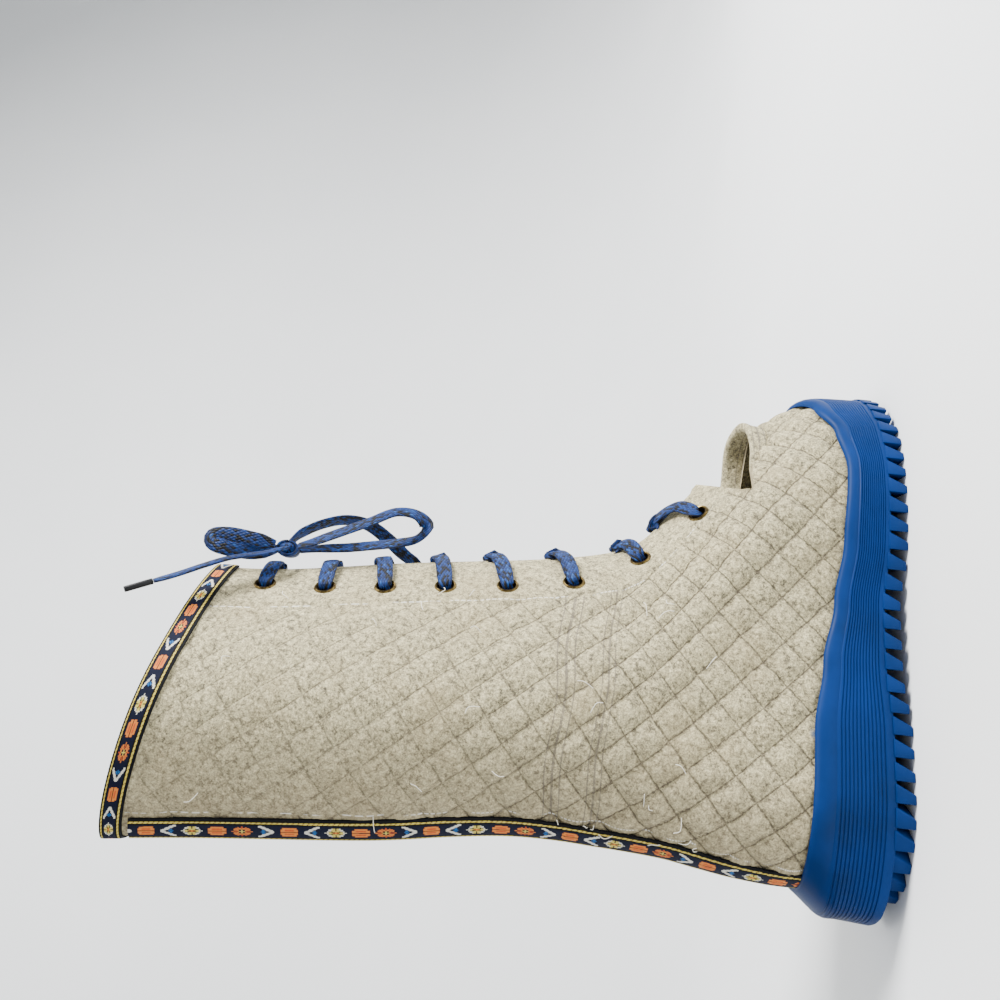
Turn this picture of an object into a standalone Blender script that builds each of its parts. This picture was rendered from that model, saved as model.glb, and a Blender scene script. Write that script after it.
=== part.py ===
# Lace-up valenki: a quilted felt boot on a moulded rubber cup sole, standing on the floor.
# The boot is drawn in its own frame: x from the heel towards the toe, y to the boot's left,
# z up from the floor. Sizes are in millimetres until mesh points are written in metres.

import math

import bpy
import bmesh
from mathutils import Matrix, Vector

MM = 0.001

# Driving sizes of the boot
LAST_LENGTH = 250.0      # felt foot, heel to toe
BALL_WIDTH = 89.0        # felt foot, across the ball
FELT = 4.5               # thickness of the felt wall
FIT_GAP = 0.4            # clearance between pieces that touch
TOE_SWING = 5.0          # how far the toe turns to the inner side
SLIT = 2.6               # gap between the two facings
THROAT_X = 206.0         # where the facings end
THROAT_Z = 67.0          # lower edge of the throat opening
RIM_THICK = 5.6          # the doubled felt edge round the throat
RIM_FOOT = 61.5          # its lower edge, inside the felt wall
RIM_TOP = 75.5           # its upper edge
RIM_X = 209.0            # where its bend starts
RIM_LONG = 31.0          # the bend's reach forward
RIM_WIDE = 24.0          # half its width
RIM_REAR = 12.0          # its straight ends, under the facings
RIBBON = 15.0            # width of the woven ribbon
RIBBON_THICK = 1.1
SEAM_TURN = 3.5          # the back seam sits this far towards the outer side
EYELET_HOLE = 3.2        # radius
EYELET_FLANGE = 6.0      # radius
ROUND_STEPS = 8          # flat sides round an eyelet and its hole
LACE_WIDTH = 7.5
LACE_THICK = 3.2
RUBBER_TOP_WALL = 3.6    # rubber thickness at the upper edge of the cup
RUBBER_FOOT_WALL = 5.6   # rubber thickness at the lower edge of the cup
RIB_COUNT = 5
RIB_DEPTH = 0.6
HEEL_SPUR = 9.0          # kick-off ledge behind the heel
LUG_PITCH = 9.8
LUG_REACH = 15.0         # how far a lug runs in under the sole

# The rings of the upper, collar to foot bed. Each ring lies on a straight chord, seen from the side.
# back_x and front_x are parts of the last's length, back_z and front_z are heights,
# heel, waist and ball are half-widths as parts of half the ball width,
# back_run and front_run are the lengths of the rounded ends, back_pow and front_pow their fullness,
# dip is how far the ring's sides hang below its chord.
RING_COLUMNS = ("name", "back_x", "back_z", "front_x", "front_z", "heel", "waist", "ball",
                "back_run", "front_run", "back_pow", "front_pow", "dip")
RING_ROWS = (
    ("collar",   -0.052, 361.0, 0.500, 340.0, 0.84, 0.88, 0.84, 60, 78, 0.72, 0.86, 4.0),
    ("shaft_a",  -0.030, 318.0, 0.513, 303.0, 0.84, 0.88, 0.84, 60, 78, 0.72, 0.86, 3.0),
    ("shaft_b",   0.004, 240.0, 0.554, 246.0, 0.85, 0.89, 0.85, 60, 80, 0.72, 0.86, 1.0),
    ("shaft_c",   0.030, 201.0, 0.578, 208.0, 0.86, 0.90, 0.86, 58, 82, 0.70, 0.86, 0.0),
    ("shaft_d",   0.044, 176.0, 0.600, 173.0, 0.87, 0.91, 0.86, 56, 84, 0.68, 0.86, 0.0),
    ("shaft_e",   0.048, 154.0, 0.628, 142.0, 0.86, 0.91, 0.84, 52, 88, 0.66, 0.87, 0.0),
    ("ankle",     0.046, 134.0, 0.662, 124.0, 0.82, 0.89, 0.83, 48, 94, 0.64, 0.88, 0.0),
    ("instep_a",  0.044, 118.0, 0.730, 110.0, 0.78, 0.85, 0.82, 45, 104, 0.62, 0.90, 0.0),
    ("instep_b",  0.040, 102.0, 0.818, 95.0,  0.76, 0.81, 0.84, 43, 108, 0.60, 0.92, 0.0),
    ("instep_c",  0.032, 88.0,  0.892, 83.0,  0.75, 0.79, 0.87, 42, 98,  0.58, 0.92, 0.0),
    ("vamp_a",    0.025, 75.0,  0.952, 71.0,  0.75, 0.78, 0.91, 41, 86,  0.56, 0.86, 0.0),
    ("vamp_b",    0.021, 63.0,  0.994, 60.0,  0.75, 0.78, 0.95, 40, 78,  0.54, 0.74, 0.0),
    ("vamp_c",    0.019, 52.0,  1.020, 49.0,  0.75, 0.78, 0.98, 40, 72,  0.52, 0.60, 0.0),
    ("wall",      0.021, 40.0,  1.034, 37.0,  0.75, 0.78, 1.00, 40, 66,  0.50, 0.51, 0.0),
    ("feather",   0.028, 24.4,  1.034, 16.4,  0.72, 0.76, 0.98, 38, 64,  0.50, 0.50, 0.0),
)

# The rubber's upper and lower edges and the lugs' tread, from the heel to the toe.
SOLE_COLUMNS = ("x", "edge", "foot", "tread")
SOLE_ROWS = (
    (-10.0, 43.5, 8.0, 1.5),
    (15.0,  44.5, 7.6, 0.0),
    (70.0,  42.5, 7.6, 0.0),
    (100.0, 38.5, 10.2, 3.4),
    (130.0, 33.0, 10.2, 3.4),
    (160.0, 29.0, 7.8, 0.0),
    (200.0, 27.0, 7.6, 0.0),
    (222.0, 31.0, 8.2, 0.0),
    (240.0, 38.0, 9.4, 1.6),
    (262.0, 46.0, 11.5, 5.0),
)

# The eyelets of one facing, from the collar down: how far along the facing's edge, how far back
# from it along the ring's chord, and how far the lace climbs towards the eyelet above.
EYELET_ROWS = (
    (31.0, 14.0, 0.00),
    (61.5, 18.0, 0.05),
    (91.0, 20.0, 0.20),
    (121.0, 21.0, 0.25),
    (153.0, 22.0, 0.35),
    (187.5, 22.0, 0.40),
    (223.0, 16.0, 0.50),
    (270.0, 27.0, 0.75),
)

ROWS_BETWEEN = 1         # extra rings between two rows of the table
COLUMNS_A_SIDE = 12      # faces from the back seam to the front, on one side


def smooth_step(value):
    value = min(1.0, max(0.0, value))
    return value * value * (3.0 - 2.0 * value)


def catmull(a, b, c, d, t):
    """Smooth value between b and c."""
    return b + 0.5 * t * (c - a + t * (2 * a - 5 * b + 4 * c - d + t * (3 * (b - c) + d - a)))


def ring_at(level):
    """The ring's columns at a level between the table's rows."""
    last = len(RING_ROWS) - 1
    level = min(float(last), max(0.0, level))
    low = min(int(level), last - 1)
    rows = [RING_ROWS[min(last, max(0, low + step))] for step in (-1, 0, 1, 2)]
    ring = {}
    for index in range(1, len(RING_COLUMNS)):
        ring[RING_COLUMNS[index]] = catmull(*(row[index] for row in rows), level - low)
    return ring


def rounded_end(distance, run, power):
    rest = 1.0 - min(1.0, distance / run)
    return max(0.0, 1.0 - rest * rest) ** power


def half_width(ring, t, chord):
    """Half-width at part t of the chord from back to front."""
    heel, waist, ball = ring["heel"], ring["waist"], ring["ball"]
    if t < 0.45:
        width = heel + (waist - heel) * smooth_step((t - 0.1) / 0.35)
    else:
        width = waist + (ball - waist) * smooth_step((t - 0.45) / 0.27)
    back = rounded_end(t * chord, ring["back_run"], ring["back_pow"])
    front = rounded_end((1.0 - t) * chord, ring["front_run"], ring["front_pow"])
    return 0.5 * BALL_WIDTH * width * back * front


def swing(x, z):
    """Sideways turn of the foot's middle line towards the inner side."""
    along = max(0.0, (x - 110.0) / 140.0)
    return TOE_SWING * along * along * (1.0 - smooth_step((z - 55.0) / 50.0))


def skin(level, around, inset=0.0):
    """A point of the upper's outer face, or of a face inset from it.
    Around is 0 at the back, 1 or -1 at the front. A pointed end moves in further than a round one."""
    ring = ring_at(level)
    back = Vector((ring["back_x"] * LAST_LENGTH, 0.0, ring["back_z"]))
    front = Vector((ring["front_x"] * LAST_LENGTH, 0.0, ring["front_z"]))
    along = (front - back).normalized()
    back += along * inset * (1.0 + 1.25 * (ring["back_pow"] - 0.5))
    front -= along * inset * (1.0 + 1.25 * (ring["front_pow"] - 0.5))
    t = 0.5 * (1.0 - math.cos(math.pi * abs(around)))
    point = back.lerp(front, t)
    side = 1.0 if around > 0.0 else -1.0
    widest = 0.5 * BALL_WIDTH * max(ring["heel"], ring["waist"], ring["ball"])
    width = half_width(ring, t, (front - back).length) * (1.0 - inset / widest)
    if abs(around) < 1e-6 or abs(around) > 1.0 - 1e-6:
        width = 0.0
    point.y = side * width + swing(point.x, point.z)
    point.z -= ring["dip"] * 4.0 * t * (1.0 - t)
    return point


def skin_normal(level, around, step=0.02):
    """Outward direction of the skin."""
    if abs(around) < step or abs(around) > 1.0 - step:
        sides = (skin_normal(level, s * (step if abs(around) < 0.5 else 1.0 - step)) for s in (-1.0, 1.0))
        return sum(sides, Vector()).normalized()
    level = min(len(RING_ROWS) - 1.05, max(0.05, level))
    down = skin(level + 0.05, around) - skin(level - 0.05, around)
    along = skin(level, around + step * 0.5) - skin(level, around - step * 0.5)
    return along.cross(down).normalized()


def wall_at_height(around, height):
    """The point where a column of the upper's flat faces passes a height."""
    column = [skin(level, around) for level in level_places()]
    for above, below in zip(column, column[1:]):
        if below.z <= height:
            return below.lerp(above, min(1.0, (height - below.z) / (above.z - below.z)))
    return column[-1]


def sole_at(x, column):
    """A column of the sole's table at a place along the boot, read as a smooth line."""
    index = SOLE_COLUMNS.index(column)
    rows = SOLE_ROWS
    if x <= rows[0][0]:
        return rows[0][index]
    for low in range(len(rows) - 1):
        if x <= rows[low + 1][0]:
            t = (x - rows[low][0]) / (rows[low + 1][0] - rows[low][0])
            return rows[low][index] + (rows[low + 1][index] - rows[low][index]) * smooth_step(t)
    return rows[-1][index]


# Scene, materials and small mesh helpers

def empty_scene():
    for old in list(bpy.data.objects):
        bpy.data.objects.remove(old, do_unlink=True)
    boot = bpy.data.collections.new("valenki_boot")
    cutters = bpy.data.collections.new("cutters")
    for collection in (boot, cutters):
        bpy.context.scene.collection.children.link(collection)
    return boot, cutters


def finish(name, colour, roughness, metallic=0.0):
    material = bpy.data.materials.new(name)
    material.use_nodes = True
    shader = material.node_tree.nodes["Principled BSDF"]
    shader.inputs["Base Color"].default_value = (*colour, 1.0)
    shader.inputs["Roughness"].default_value = roughness
    shader.inputs["Metallic"].default_value = metallic
    return material


def add_mesh(name, points, faces, collection, material=None, edges=()):
    """An object from points in millimetres."""
    mesh = bpy.data.meshes.new(name)
    mesh.from_pydata([Vector(point) * MM for point in points], edges, faces)
    mesh.update()
    thing = bpy.data.objects.new(name, mesh)
    collection.objects.link(thing)
    if material:
        mesh.materials.append(material)
    return thing


def tidy_faces(thing, closed=True):
    """Merge points that coincide and turn the faces of a closed shape outwards."""
    work = bmesh.new()
    work.from_mesh(thing.data)
    bmesh.ops.remove_doubles(work, verts=work.verts, dist=0.00002)
    if closed:
        bmesh.ops.recalc_face_normals(work, faces=work.faces)
    work.to_mesh(thing.data)
    work.free()


def round_shading(thing, angle=40.0):
    thing.data.shade_smooth()
    thing.data.set_sharp_from_angle(angle=math.radians(angle))


def evaluated_copy(thing):
    """Turn an object with modifiers into a plain mesh."""
    bpy.context.view_layer.update()
    solid = bpy.data.meshes.new_from_object(thing.evaluated_get(bpy.context.evaluated_depsgraph_get()))
    thing.modifiers.clear()
    thing.data = solid
    return thing


def cut_or_join(thing, other, operation):
    boolean = thing.modifiers.new(operation.lower() + "_" + other.name, "BOOLEAN")
    boolean.object = other
    boolean.operation = operation
    boolean.solver = "EXACT"
    evaluated_copy(thing)
    other.hide_render = True
    other.display_type = "WIRE"


def sheet_faces(rows, columns, closed):
    """Faces of a grid of points, rows first. A closed grid joins its last column to its first."""
    faces = []
    for row in range(rows - 1):
        for column in range(columns if closed else columns - 1):
            after = (column + 1) % columns
            faces.append((row * columns + column, row * columns + after,
                          (row + 1) * columns + after, (row + 1) * columns + column))
    return faces


def column_places():
    """The columns round a ring: outer side, back, inner side."""
    return [index / COLUMNS_A_SIDE for index in range(-COLUMNS_A_SIDE, COLUMNS_A_SIDE)]


def level_places():
    return [index / (ROWS_BETWEEN + 1) for index in range((ROWS_BETWEEN + 1) * (len(RING_ROWS) - 1) + 1)]


# The upper: one hollow felt wall

def ring_front(level):
    ring = ring_at(level)
    return Vector((ring["front_x"] * LAST_LENGTH, 0.0, ring["front_z"]))


def eyelet_places():
    """Level and column of each eyelet, from the collar down, for the outer side."""
    places = []
    travelled, level, step = 0.0, 0.0, 0.01
    here = ring_front(0.0)
    while len(places) < len(EYELET_ROWS):
        level += step
        there = ring_front(level)
        travelled += (there - here).length
        here = there
        wanted, setback = EYELET_ROWS[len(places)][:2]
        if travelled >= wanted:
            ring = ring_at(level)
            chord = (ring["front_x"] - ring["back_x"]) * LAST_LENGTH
            around = math.acos(2.0 * (setback / chord) - 1.0) / math.pi
            places.append((level, -around))
    return places


def facing_frame(level, around):
    """Place and turn of a piece that sits on the skin, its z along the outward direction."""
    normal = skin_normal(level, around)
    turn = normal.to_track_quat("Z", "Y").to_matrix().to_4x4()
    return Matrix.Translation(skin(level, around) * MM) @ turn


def rim_path(swept):
    """The throat rim's middle line in plan and its outward direction; swept runs from -1 to 1."""
    bend = 0.72
    side = 1.0 if swept > 0.0 else -1.0
    if abs(swept) <= bend:
        angle = 0.5 * math.pi * swept / bend
        spot = Vector((RIM_X + RIM_LONG * math.cos(angle), RIM_WIDE * math.sin(angle), 0.0))
        outward = Vector((math.cos(angle) / RIM_LONG, math.sin(angle) / RIM_WIDE, 0.0)).normalized()
    else:
        rear = RIM_REAR * (abs(swept) - bend) / (1.0 - bend)
        spot = Vector((RIM_X - rear, side * (RIM_WIDE + 0.1 * rear), 0.0))
        outward = Vector((0.0, side, 0.0))
    spot.y += swing(spot.x, THROAT_Z)
    return spot, outward


def throat_rim(cutters):
    """The doubled felt edge that stands round the throat opening, as a bent band."""
    stations = 21
    half = 0.5 * RIM_THICK
    points = []
    for index in range(stations):
        swept = 2.0 * index / (stations - 1) - 1.0
        spot, outward = rim_path(swept)
        rear = smooth_step((abs(swept) - 0.7) / 0.3)
        top = RIM_TOP - 4.0 * rear
        for offset, height in ((half - 0.6, RIM_FOOT), (half, 66.0), (half + 0.8, top - 2.0), (half - 0.6, top),
                               (0.6 - half, top), (0.4 - half, top - 2.0), (-half, 66.0), (0.6 - half, RIM_FOOT)):
            points.append(spot + outward * offset + Vector((0.0, 0.0, height)))
    faces = sheet_faces(stations, 8, True)
    faces.append(tuple(range(8)))
    faces.append(tuple(reversed(range((stations - 1) * 8, stations * 8))))
    rim = add_mesh("throat_rim", points, faces, cutters)
    tidy_faces(rim)
    return rim


def build_upper(boot, cutters, felt):
    columns = column_places()
    levels = level_places()
    points = [skin(level, around) for level in levels for around in columns]
    points += [skin(level, around, FELT) for level in reversed(levels) for around in columns]
    faces = sheet_faces(2 * len(levels), len(columns), True)
    last_row = (2 * len(levels) - 1) * len(columns)
    for column in range(len(columns)):
        after = (column + 1) % len(columns)
        faces.append((last_row + column, last_row + after, after, column))
    upper = add_mesh("upper", points, faces, boot, felt)
    tidy_faces(upper)

    slit = block("slit_cutter", (95.0, 270.0), (-SLIT / 2, SLIT / 2), (84.0, 400.0), cutters)
    cut_or_join(upper, slit, "DIFFERENCE")
    cut_or_join(upper, throat_cutter(cutters), "DIFFERENCE")
    cut_or_join(upper, throat_rim(cutters), "UNION")
    cut_or_join(upper, eyelet_cutter(cutters), "DIFFERENCE")
    round_shading(upper)
    return upper


def block(name, across_x, across_y, across_z, collection):
    """A box between its limits, in millimetres."""
    middle = [0.5 * (side[0] + side[1]) * MM for side in (across_x, across_y, across_z)]
    bpy.ops.mesh.primitive_cube_add(size=1.0, location=middle)
    thing = bpy.context.active_object
    thing.name = name
    size = [(side[1] - side[0]) * MM for side in (across_x, across_y, across_z)]
    thing.data.transform(Matrix.Translation(middle) @ Matrix.Diagonal((*size, 1.0)))
    thing.location = (0.0, 0.0, 0.0)
    for holder in list(thing.users_collection):
        holder.objects.unlink(thing)
    collection.objects.link(thing)
    return thing


def throat_cutter(cutters):
    """Everything above the vamp in front of the facings, with a rounded corner at the facings' ends."""
    radius = 9.0
    outline = [(300.0, THROAT_Z), (300.0, 130.0), (THROAT_X - 2.0 * radius, 130.0)]
    corner = ring_front(8.0).z
    outline.append((THROAT_X - 2.0 * radius, corner + 9.0))
    for step in range(7):
        angle = math.radians(90.0 - 15.0 * step)
        outline.append((THROAT_X - radius + radius * math.cos(angle),
                        corner - 5.0 - radius * 0.6 + radius * math.sin(angle) + 4.0))
    outline.append((THROAT_X, THROAT_Z + 6.0))
    outline.append((THROAT_X + 3.0, THROAT_Z + 1.5))
    points = [(x, y, z) for y in (-80.0, 80.0) for x, z in outline]
    count = len(outline)
    faces = [tuple(range(count)), tuple(reversed(range(count, 2 * count)))]
    for index in range(count):
        after = (index + 1) % count
        faces.append((index, index + count, after + count, after))
    cutter = add_mesh("throat_cutter", points, faces, cutters)
    tidy_faces(cutter)
    return cutter


def eyelet_cutter(cutters):
    """One mesh of all eyelet holes, each with a shallow seat for its flange."""
    work = bmesh.new()
    for level, around in eyelet_places():
        for side in (-1.0, 1.0):
            place = facing_frame(level, side * around)
            for radius, low, high in ((EYELET_HOLE + 1.1, -9.0, -0.4), (EYELET_FLANGE + 0.6, -0.9, 5.0)):
                drill = place @ Matrix.Translation((0, 0, 0.5 * (low + high) * MM))
                bmesh.ops.create_cone(work, cap_ends=True, segments=ROUND_STEPS, radius1=radius * MM,
                                      radius2=radius * MM, depth=(high - low) * MM, matrix=drill)
    mesh = bpy.data.meshes.new("eyelet_cutter")
    work.to_mesh(mesh)
    work.free()
    cutter = bpy.data.objects.new("eyelet_cutter", mesh)
    cutters.objects.link(cutter)
    return cutter


# The rubber cup sole

def foot_outline(around):
    """The felt foot's outline at the foot bed and its outward direction in plan."""
    bottom = float(len(RING_ROWS) - 1)
    spot = skin(bottom, around)
    if abs(around) < 0.001:
        return spot, Vector((-1.0, 0.0, 0.0))
    if abs(around) > 0.999:
        return spot, Vector((1.0, 0.0, 0.0))
    along = skin(bottom, around + 0.01) - skin(bottom, around - 0.01)
    outward = Vector((-along.y, along.x, 0.0)).normalized()
    return spot, outward


def cup_point(around, height, offset):
    """A point of the cup, offset outwards from the felt at a height."""
    spot, outward = foot_outline(around)
    if height > spot.z:
        spot = wall_at_height(around, height)
    return Vector((spot.x, spot.y, height)) + outward * offset


def heel_spur(around, share):
    """The ledge behind the heel, backwards: nothing at the upper edge, most at half the height."""
    behind = 1.0 - smooth_step((abs(around) - 0.05) / 0.17)
    rise = smooth_step((1.0 - share) / 0.5)
    return Vector((-HEEL_SPUR * behind * rise, 0.0, 0.0))


def build_cup(boot, cutters, rubber):
    columns = column_places()
    rows = []
    rib_low, rib_high = 0.16, 0.74
    profile = [(0.0, -1.2), (0.05, 0.0), (rib_low, 0.0)]
    for rib in range(RIB_COUNT):
        start = rib_low + (rib_high - rib_low) * rib / RIB_COUNT
        width = (rib_high - rib_low) / RIB_COUNT
        profile += [(start + 0.2 * width, -RIB_DEPTH), (start + 0.5 * width, -RIB_DEPTH), (start + 0.7 * width, 0.0)]
    profile += [(rib_high + 0.03, 0.0), (0.96, 0.0), (1.0, -0.8)]
    for share, relief in profile:
        row = []
        for around in columns:
            x = foot_outline(around)[0].x
            foot, edge = sole_at(x, "foot"), sole_at(x, "edge")
            wall = RUBBER_FOOT_WALL + (RUBBER_TOP_WALL - RUBBER_FOOT_WALL) * share
            spot = cup_point(around, foot + (edge - foot) * share, FIT_GAP + wall + relief)
            row.append(spot + heel_spur(around, share))
        rows.append(row)
    # The inner wall has a row at each of the felt's rings, so that the two follow each other.
    felt_rings = level_places()[-4:-1]
    for step in range(6):
        row = []
        for around in columns:
            spot = foot_outline(around)[0]
            edge = sole_at(spot.x, "edge")
            if step < 2:
                height = edge - step
            elif step < 5:
                height = min(skin(felt_rings[step - 2], around).z, edge - 0.6 * step)
            else:
                height = spot.z - FIT_GAP
            row.append(cup_point(around, height, FIT_GAP + (0.9 if step == 0 else 0.0)))
        rows.append(row)
    points = [point for row in rows for point in row]
    count = len(columns)
    faces = sheet_faces(len(rows), count, True)
    for base in (0, (len(rows) - 1) * count):
        half = COLUMNS_A_SIDE
        for index in range(half):
            left, right = half + index, (half - index) % count
            left_next, right_next = (half + index + 1) % count, (half - index - 1) % count
            corners = []
            for corner in (left, left_next, right_next, right):
                if base + corner not in corners:
                    corners.append(base + corner)
            faces.append(tuple(corners))
    cup = add_mesh("cup_sole", points, faces, boot, rubber)
    tidy_faces(cup)
    cut_or_join(cup, build_lugs(cutters), "UNION")
    round_shading(cup, 30.0)
    return cup


def wedge(work, middle, along, inward, length, reach, top, tread, rake):
    """A lug: its front side upright, its rear side raked, its foot flat on the tread."""
    corners = []
    for depth in (0.0, reach):
        shift = inward * depth
        for place, height in ((-0.5, top), (0.5, top), (0.5, tread), (-0.5 + rake, tread)):
            spot = middle + along * (length * place) + shift
            corners.append(work.verts.new(Vector((spot.x, spot.y, height)) * MM))
    for face in ((0, 1, 2, 3), (7, 6, 5, 4), (0, 4, 5, 1), (1, 5, 6, 2), (2, 6, 7, 3), (3, 7, 4, 0)):
        work.faces.new([corners[index] for index in face])


def build_lugs(cutters):
    """All the lugs in one mesh: slanted wedges round the edge, then cross bars and two flat pads."""
    work = bmesh.new()
    samples = 400
    for side in (-1.0, 1.0):
        outline = []
        for index in range(samples + 1):
            around = side * (0.055 + 0.915 * index / samples)
            spot, outward = foot_outline(around)
            outline.append((spot + outward * (FIT_GAP + RUBBER_FOOT_WALL - 1.0), outward))
        travelled, wanted = 0.0, 0.0
        for index in range(1, samples + 1):
            spot, outward = outline[index]
            step = spot - outline[index - 1][0]
            travelled += step.length
            if travelled < wanted:
                continue
            wanted += LUG_PITCH
            along = step.normalized()
            foot, tread = sole_at(spot.x, "foot"), sole_at(spot.x, "tread")
            inward = (-outward * 0.94 + along * 0.34).normalized()
            reach = LUG_REACH if 20.0 < spot.x < 230.0 else LUG_REACH * 0.7
            middle = Vector((spot.x, spot.y, 0.0)) + outward * 1.6
            wedge(work, middle, along, inward, LUG_PITCH * 0.66, reach, foot + 1.2, tread, 0.36)
    for x, half in ((24.0, 10.0), (82.0, 11.0), (152.0, 19.0), (166.0, 22.0), (208.0, 20.0), (222.0, 15.0)):
        centre = swing(x, 0.0)
        wedge(work, Vector((x, centre - half, 0.0)), Vector((1, 0, 0)), Vector((0, 1, 0)),
              6.4, 2.0 * half, sole_at(x, "foot") + 1.2, sole_at(x, "tread"), 0.3)
    for x, length, half in ((53.0, 34.0, 14.0), (187.0, 22.0, 21.0)):
        centre = swing(x, 0.0)
        wedge(work, Vector((x, centre - half, 0.0)), Vector((1, 0, 0)), Vector((0, 1, 0)),
              length, 2.0 * half, sole_at(x, "foot") + 1.6, 0.0, 0.08)
    bmesh.ops.recalc_face_normals(work, faces=work.faces)
    mesh = bpy.data.meshes.new("lugs")
    work.to_mesh(mesh)
    work.free()
    lugs = bpy.data.objects.new("lugs", mesh)
    cutters.objects.link(lugs)
    return lugs


# The insole

def build_insole(boot, felt):
    thickness = 3.6
    inset = FELT + 1.2
    bottom = float(len(RING_ROWS) - 1)
    columns = column_places()
    points = []
    for rise, offset in ((0.0, 0.8), (0.8, 0.0), (thickness - 0.8, 0.0), (thickness, 0.9)):
        for around in columns:
            points.append(skin(bottom, around, inset + offset) + Vector((0.0, 0.0, rise)))
    count = len(columns)
    faces = sheet_faces(4, count, True)
    for base in (0, 3 * count):
        half = COLUMNS_A_SIDE
        for index in range(half):
            corners = []
            for corner in (half + index, (half + index + 1) % count, (half - index - 1) % count, (half - index) % count):
                if base + corner not in corners:
                    corners.append(base + corner)
            faces.append(tuple(corners))
    insole = add_mesh("insole", points, faces, boot, felt)
    tidy_faces(insole)
    return insole


# The woven ribbons

def facet_skin(level, around):
    """The skin as the upper's flat faces have it, between two of its columns."""
    place = around * COLUMNS_A_SIDE
    low = math.floor(place + 1e-9)
    share = place - low
    a, b = low / COLUMNS_A_SIDE, (low + 1) / COLUMNS_A_SIDE
    near = skin(level, a)
    if share < 1e-6:
        return near
    return near.lerp(skin(level, b), share)


def around_at_distance(level, wanted):
    """The column at a distance along the skin from the back seam's middle; negative is the outer side."""
    side = -1.0 if wanted < 0.0 else 1.0
    travelled, around, step = 0.0, 0.0, 0.002
    here = skin(level, 0.0)
    while travelled < abs(wanted):
        around += step
        there = facet_skin(level, side * around)
        travelled += (there - here).length
        here = there
    return side * around


def ribbon_from(name, grid, boot, material):
    """A ribbon's solid: a sheet of points just off the skin, given its thickness outwards."""
    rows, columns = len(grid), len(grid[0])
    points = [spot for row in grid for spot in row]
    ribbon = add_mesh(name, points, sheet_faces(rows, columns, False), boot, material)
    thick = ribbon.modifiers.new("ribbon_thickness", "SOLIDIFY")
    thick.thickness = RIBBON_THICK * MM
    thick.offset = 1.0
    thick.use_even_offset = True
    return ribbon


def build_ribbons(boot, weave):
    lift = FIT_GAP + 0.15
    slit_around = 0.955
    columns = [p for p in column_places() if abs(p) < slit_around]
    columns = [-slit_around] + columns + [slit_around]
    grid = []
    for share in (0.03, 0.5, 1.0):
        row = []
        for around in columns:
            level = share * RIBBON / 52.0
            row.append(facet_skin(level, around) + skin_normal(level, around) * lift)
        grid.append(row)
    ribbon_from("collar_ribbon", grid, boot, weave)

    grid = []
    top_level = RIBBON / 52.0 + 0.05
    levels = [top_level] + [level for level in level_places() if level > top_level + 0.1]
    for level in levels:
        if skin(level, 0.0).z < sole_at(0.0, "edge") + 5.0:
            break
        row = []
        for across in (-0.5, -0.27, 0.0, 0.27, 0.5):
            wanted = across * RIBBON - SEAM_TURN
            around = around_at_distance(level, wanted)
            row.append(facet_skin(level, around) + skin_normal(level, around) * lift)
        grid.append(row)
    ribbon_from("back_ribbon", grid, boot, weave)


# Eyelets

def build_eyelets(boot, brass):
    profile = ((EYELET_HOLE, 0.6), (EYELET_FLANGE - 1.0, 1.0), (EYELET_FLANGE, -0.35),
               (EYELET_HOLE + 0.6, -0.35), (EYELET_HOLE + 0.6, -4.6), (EYELET_HOLE, -4.6))
    outline = [(radius, 0.0, height) for radius, height in profile]
    section = [(index, (index + 1) % len(profile)) for index in range(len(profile))]
    for number, (level, around) in enumerate(eyelet_places(), start=1):
        for side, label in ((1.0, "outer"), (-1.0, "inner")):
            ring = add_mesh("eyelet_%s_%d" % (label, number), outline, [], boot, brass, section)
            turned = ring.modifiers.new("turned", "SCREW")
            turned.steps = ROUND_STEPS
            turned.render_steps = ROUND_STEPS
            turned.use_merge_vertices = True
            turned.merge_threshold = 0.00005
            evaluated_copy(ring)
            ring.data.transform(facing_frame(level, side * around))
            tidy_faces(ring)
            round_shading(ring)


# Laces

def swept_lace(name, route, normals, boot, material, width=LACE_WIDTH, thick=LACE_THICK, ends=True):
    """A flat oval braid along a route, its flat side along the normals."""
    sides = 6
    points = []
    count = len(route)
    for index, spot in enumerate(route):
        ahead = route[min(count - 1, index + 1)] - route[max(0, index - 1)]
        ahead.normalize()
        across = ahead.cross(normals[index]).normalized()
        up = across.cross(ahead).normalized()
        shrink = 0.6 if ends and index in (0, count - 1) else 1.0
        for side in range(sides):
            angle = 2.0 * math.pi * (side + 0.5) / sides
            points.append(spot + across * (0.5 * width * shrink * math.cos(angle))
                          + up * (0.5 * thick * shrink * math.sin(angle)))
    faces = sheet_faces(count, sides, True)
    faces.append(tuple(range(sides)))
    faces.append(tuple(reversed(range((count - 1) * sides, count * sides))))
    lace = add_mesh(name, points, faces, boot, material)
    tidy_faces(lace)
    round_shading(lace)
    return lace


def build_crossings(boot, material):
    """One joined crossing a row: from the outer eyelet up to the slit and down to the inner eyelet."""
    places = eyelet_places()
    for number, (level, around) in enumerate(places):
        above = places[max(0, number - 1)][0]
        meeting = level + (above - level) * EYELET_ROWS[number][2]
        route, normals = [], []
        steps = 4
        for index in range(2 * steps + 1):
            share = 1.0 - abs(index - steps) / steps
            side = -1.0 if index <= steps else 1.0
            here_level = level + (meeting - level) * share
            here_around = side * (abs(around) + (1.0 - abs(around)) * share)
            spot = skin(here_level, here_around)
            normal = skin_normal(here_level, here_around)
            lift = 1.6 + 0.5 * LACE_THICK + 0.6 * smooth_step(share * 2.0) * (0.4 + share)
            route.append(spot + normal * lift)
            normals.append(normal)
        swept_lace("lace_crossing_%d" % (number + 1), route, normals, boot, material)


# The bow's free laces are cord: their routes are points chosen by hand from the photograph,
# in the boot's own frame.

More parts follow.
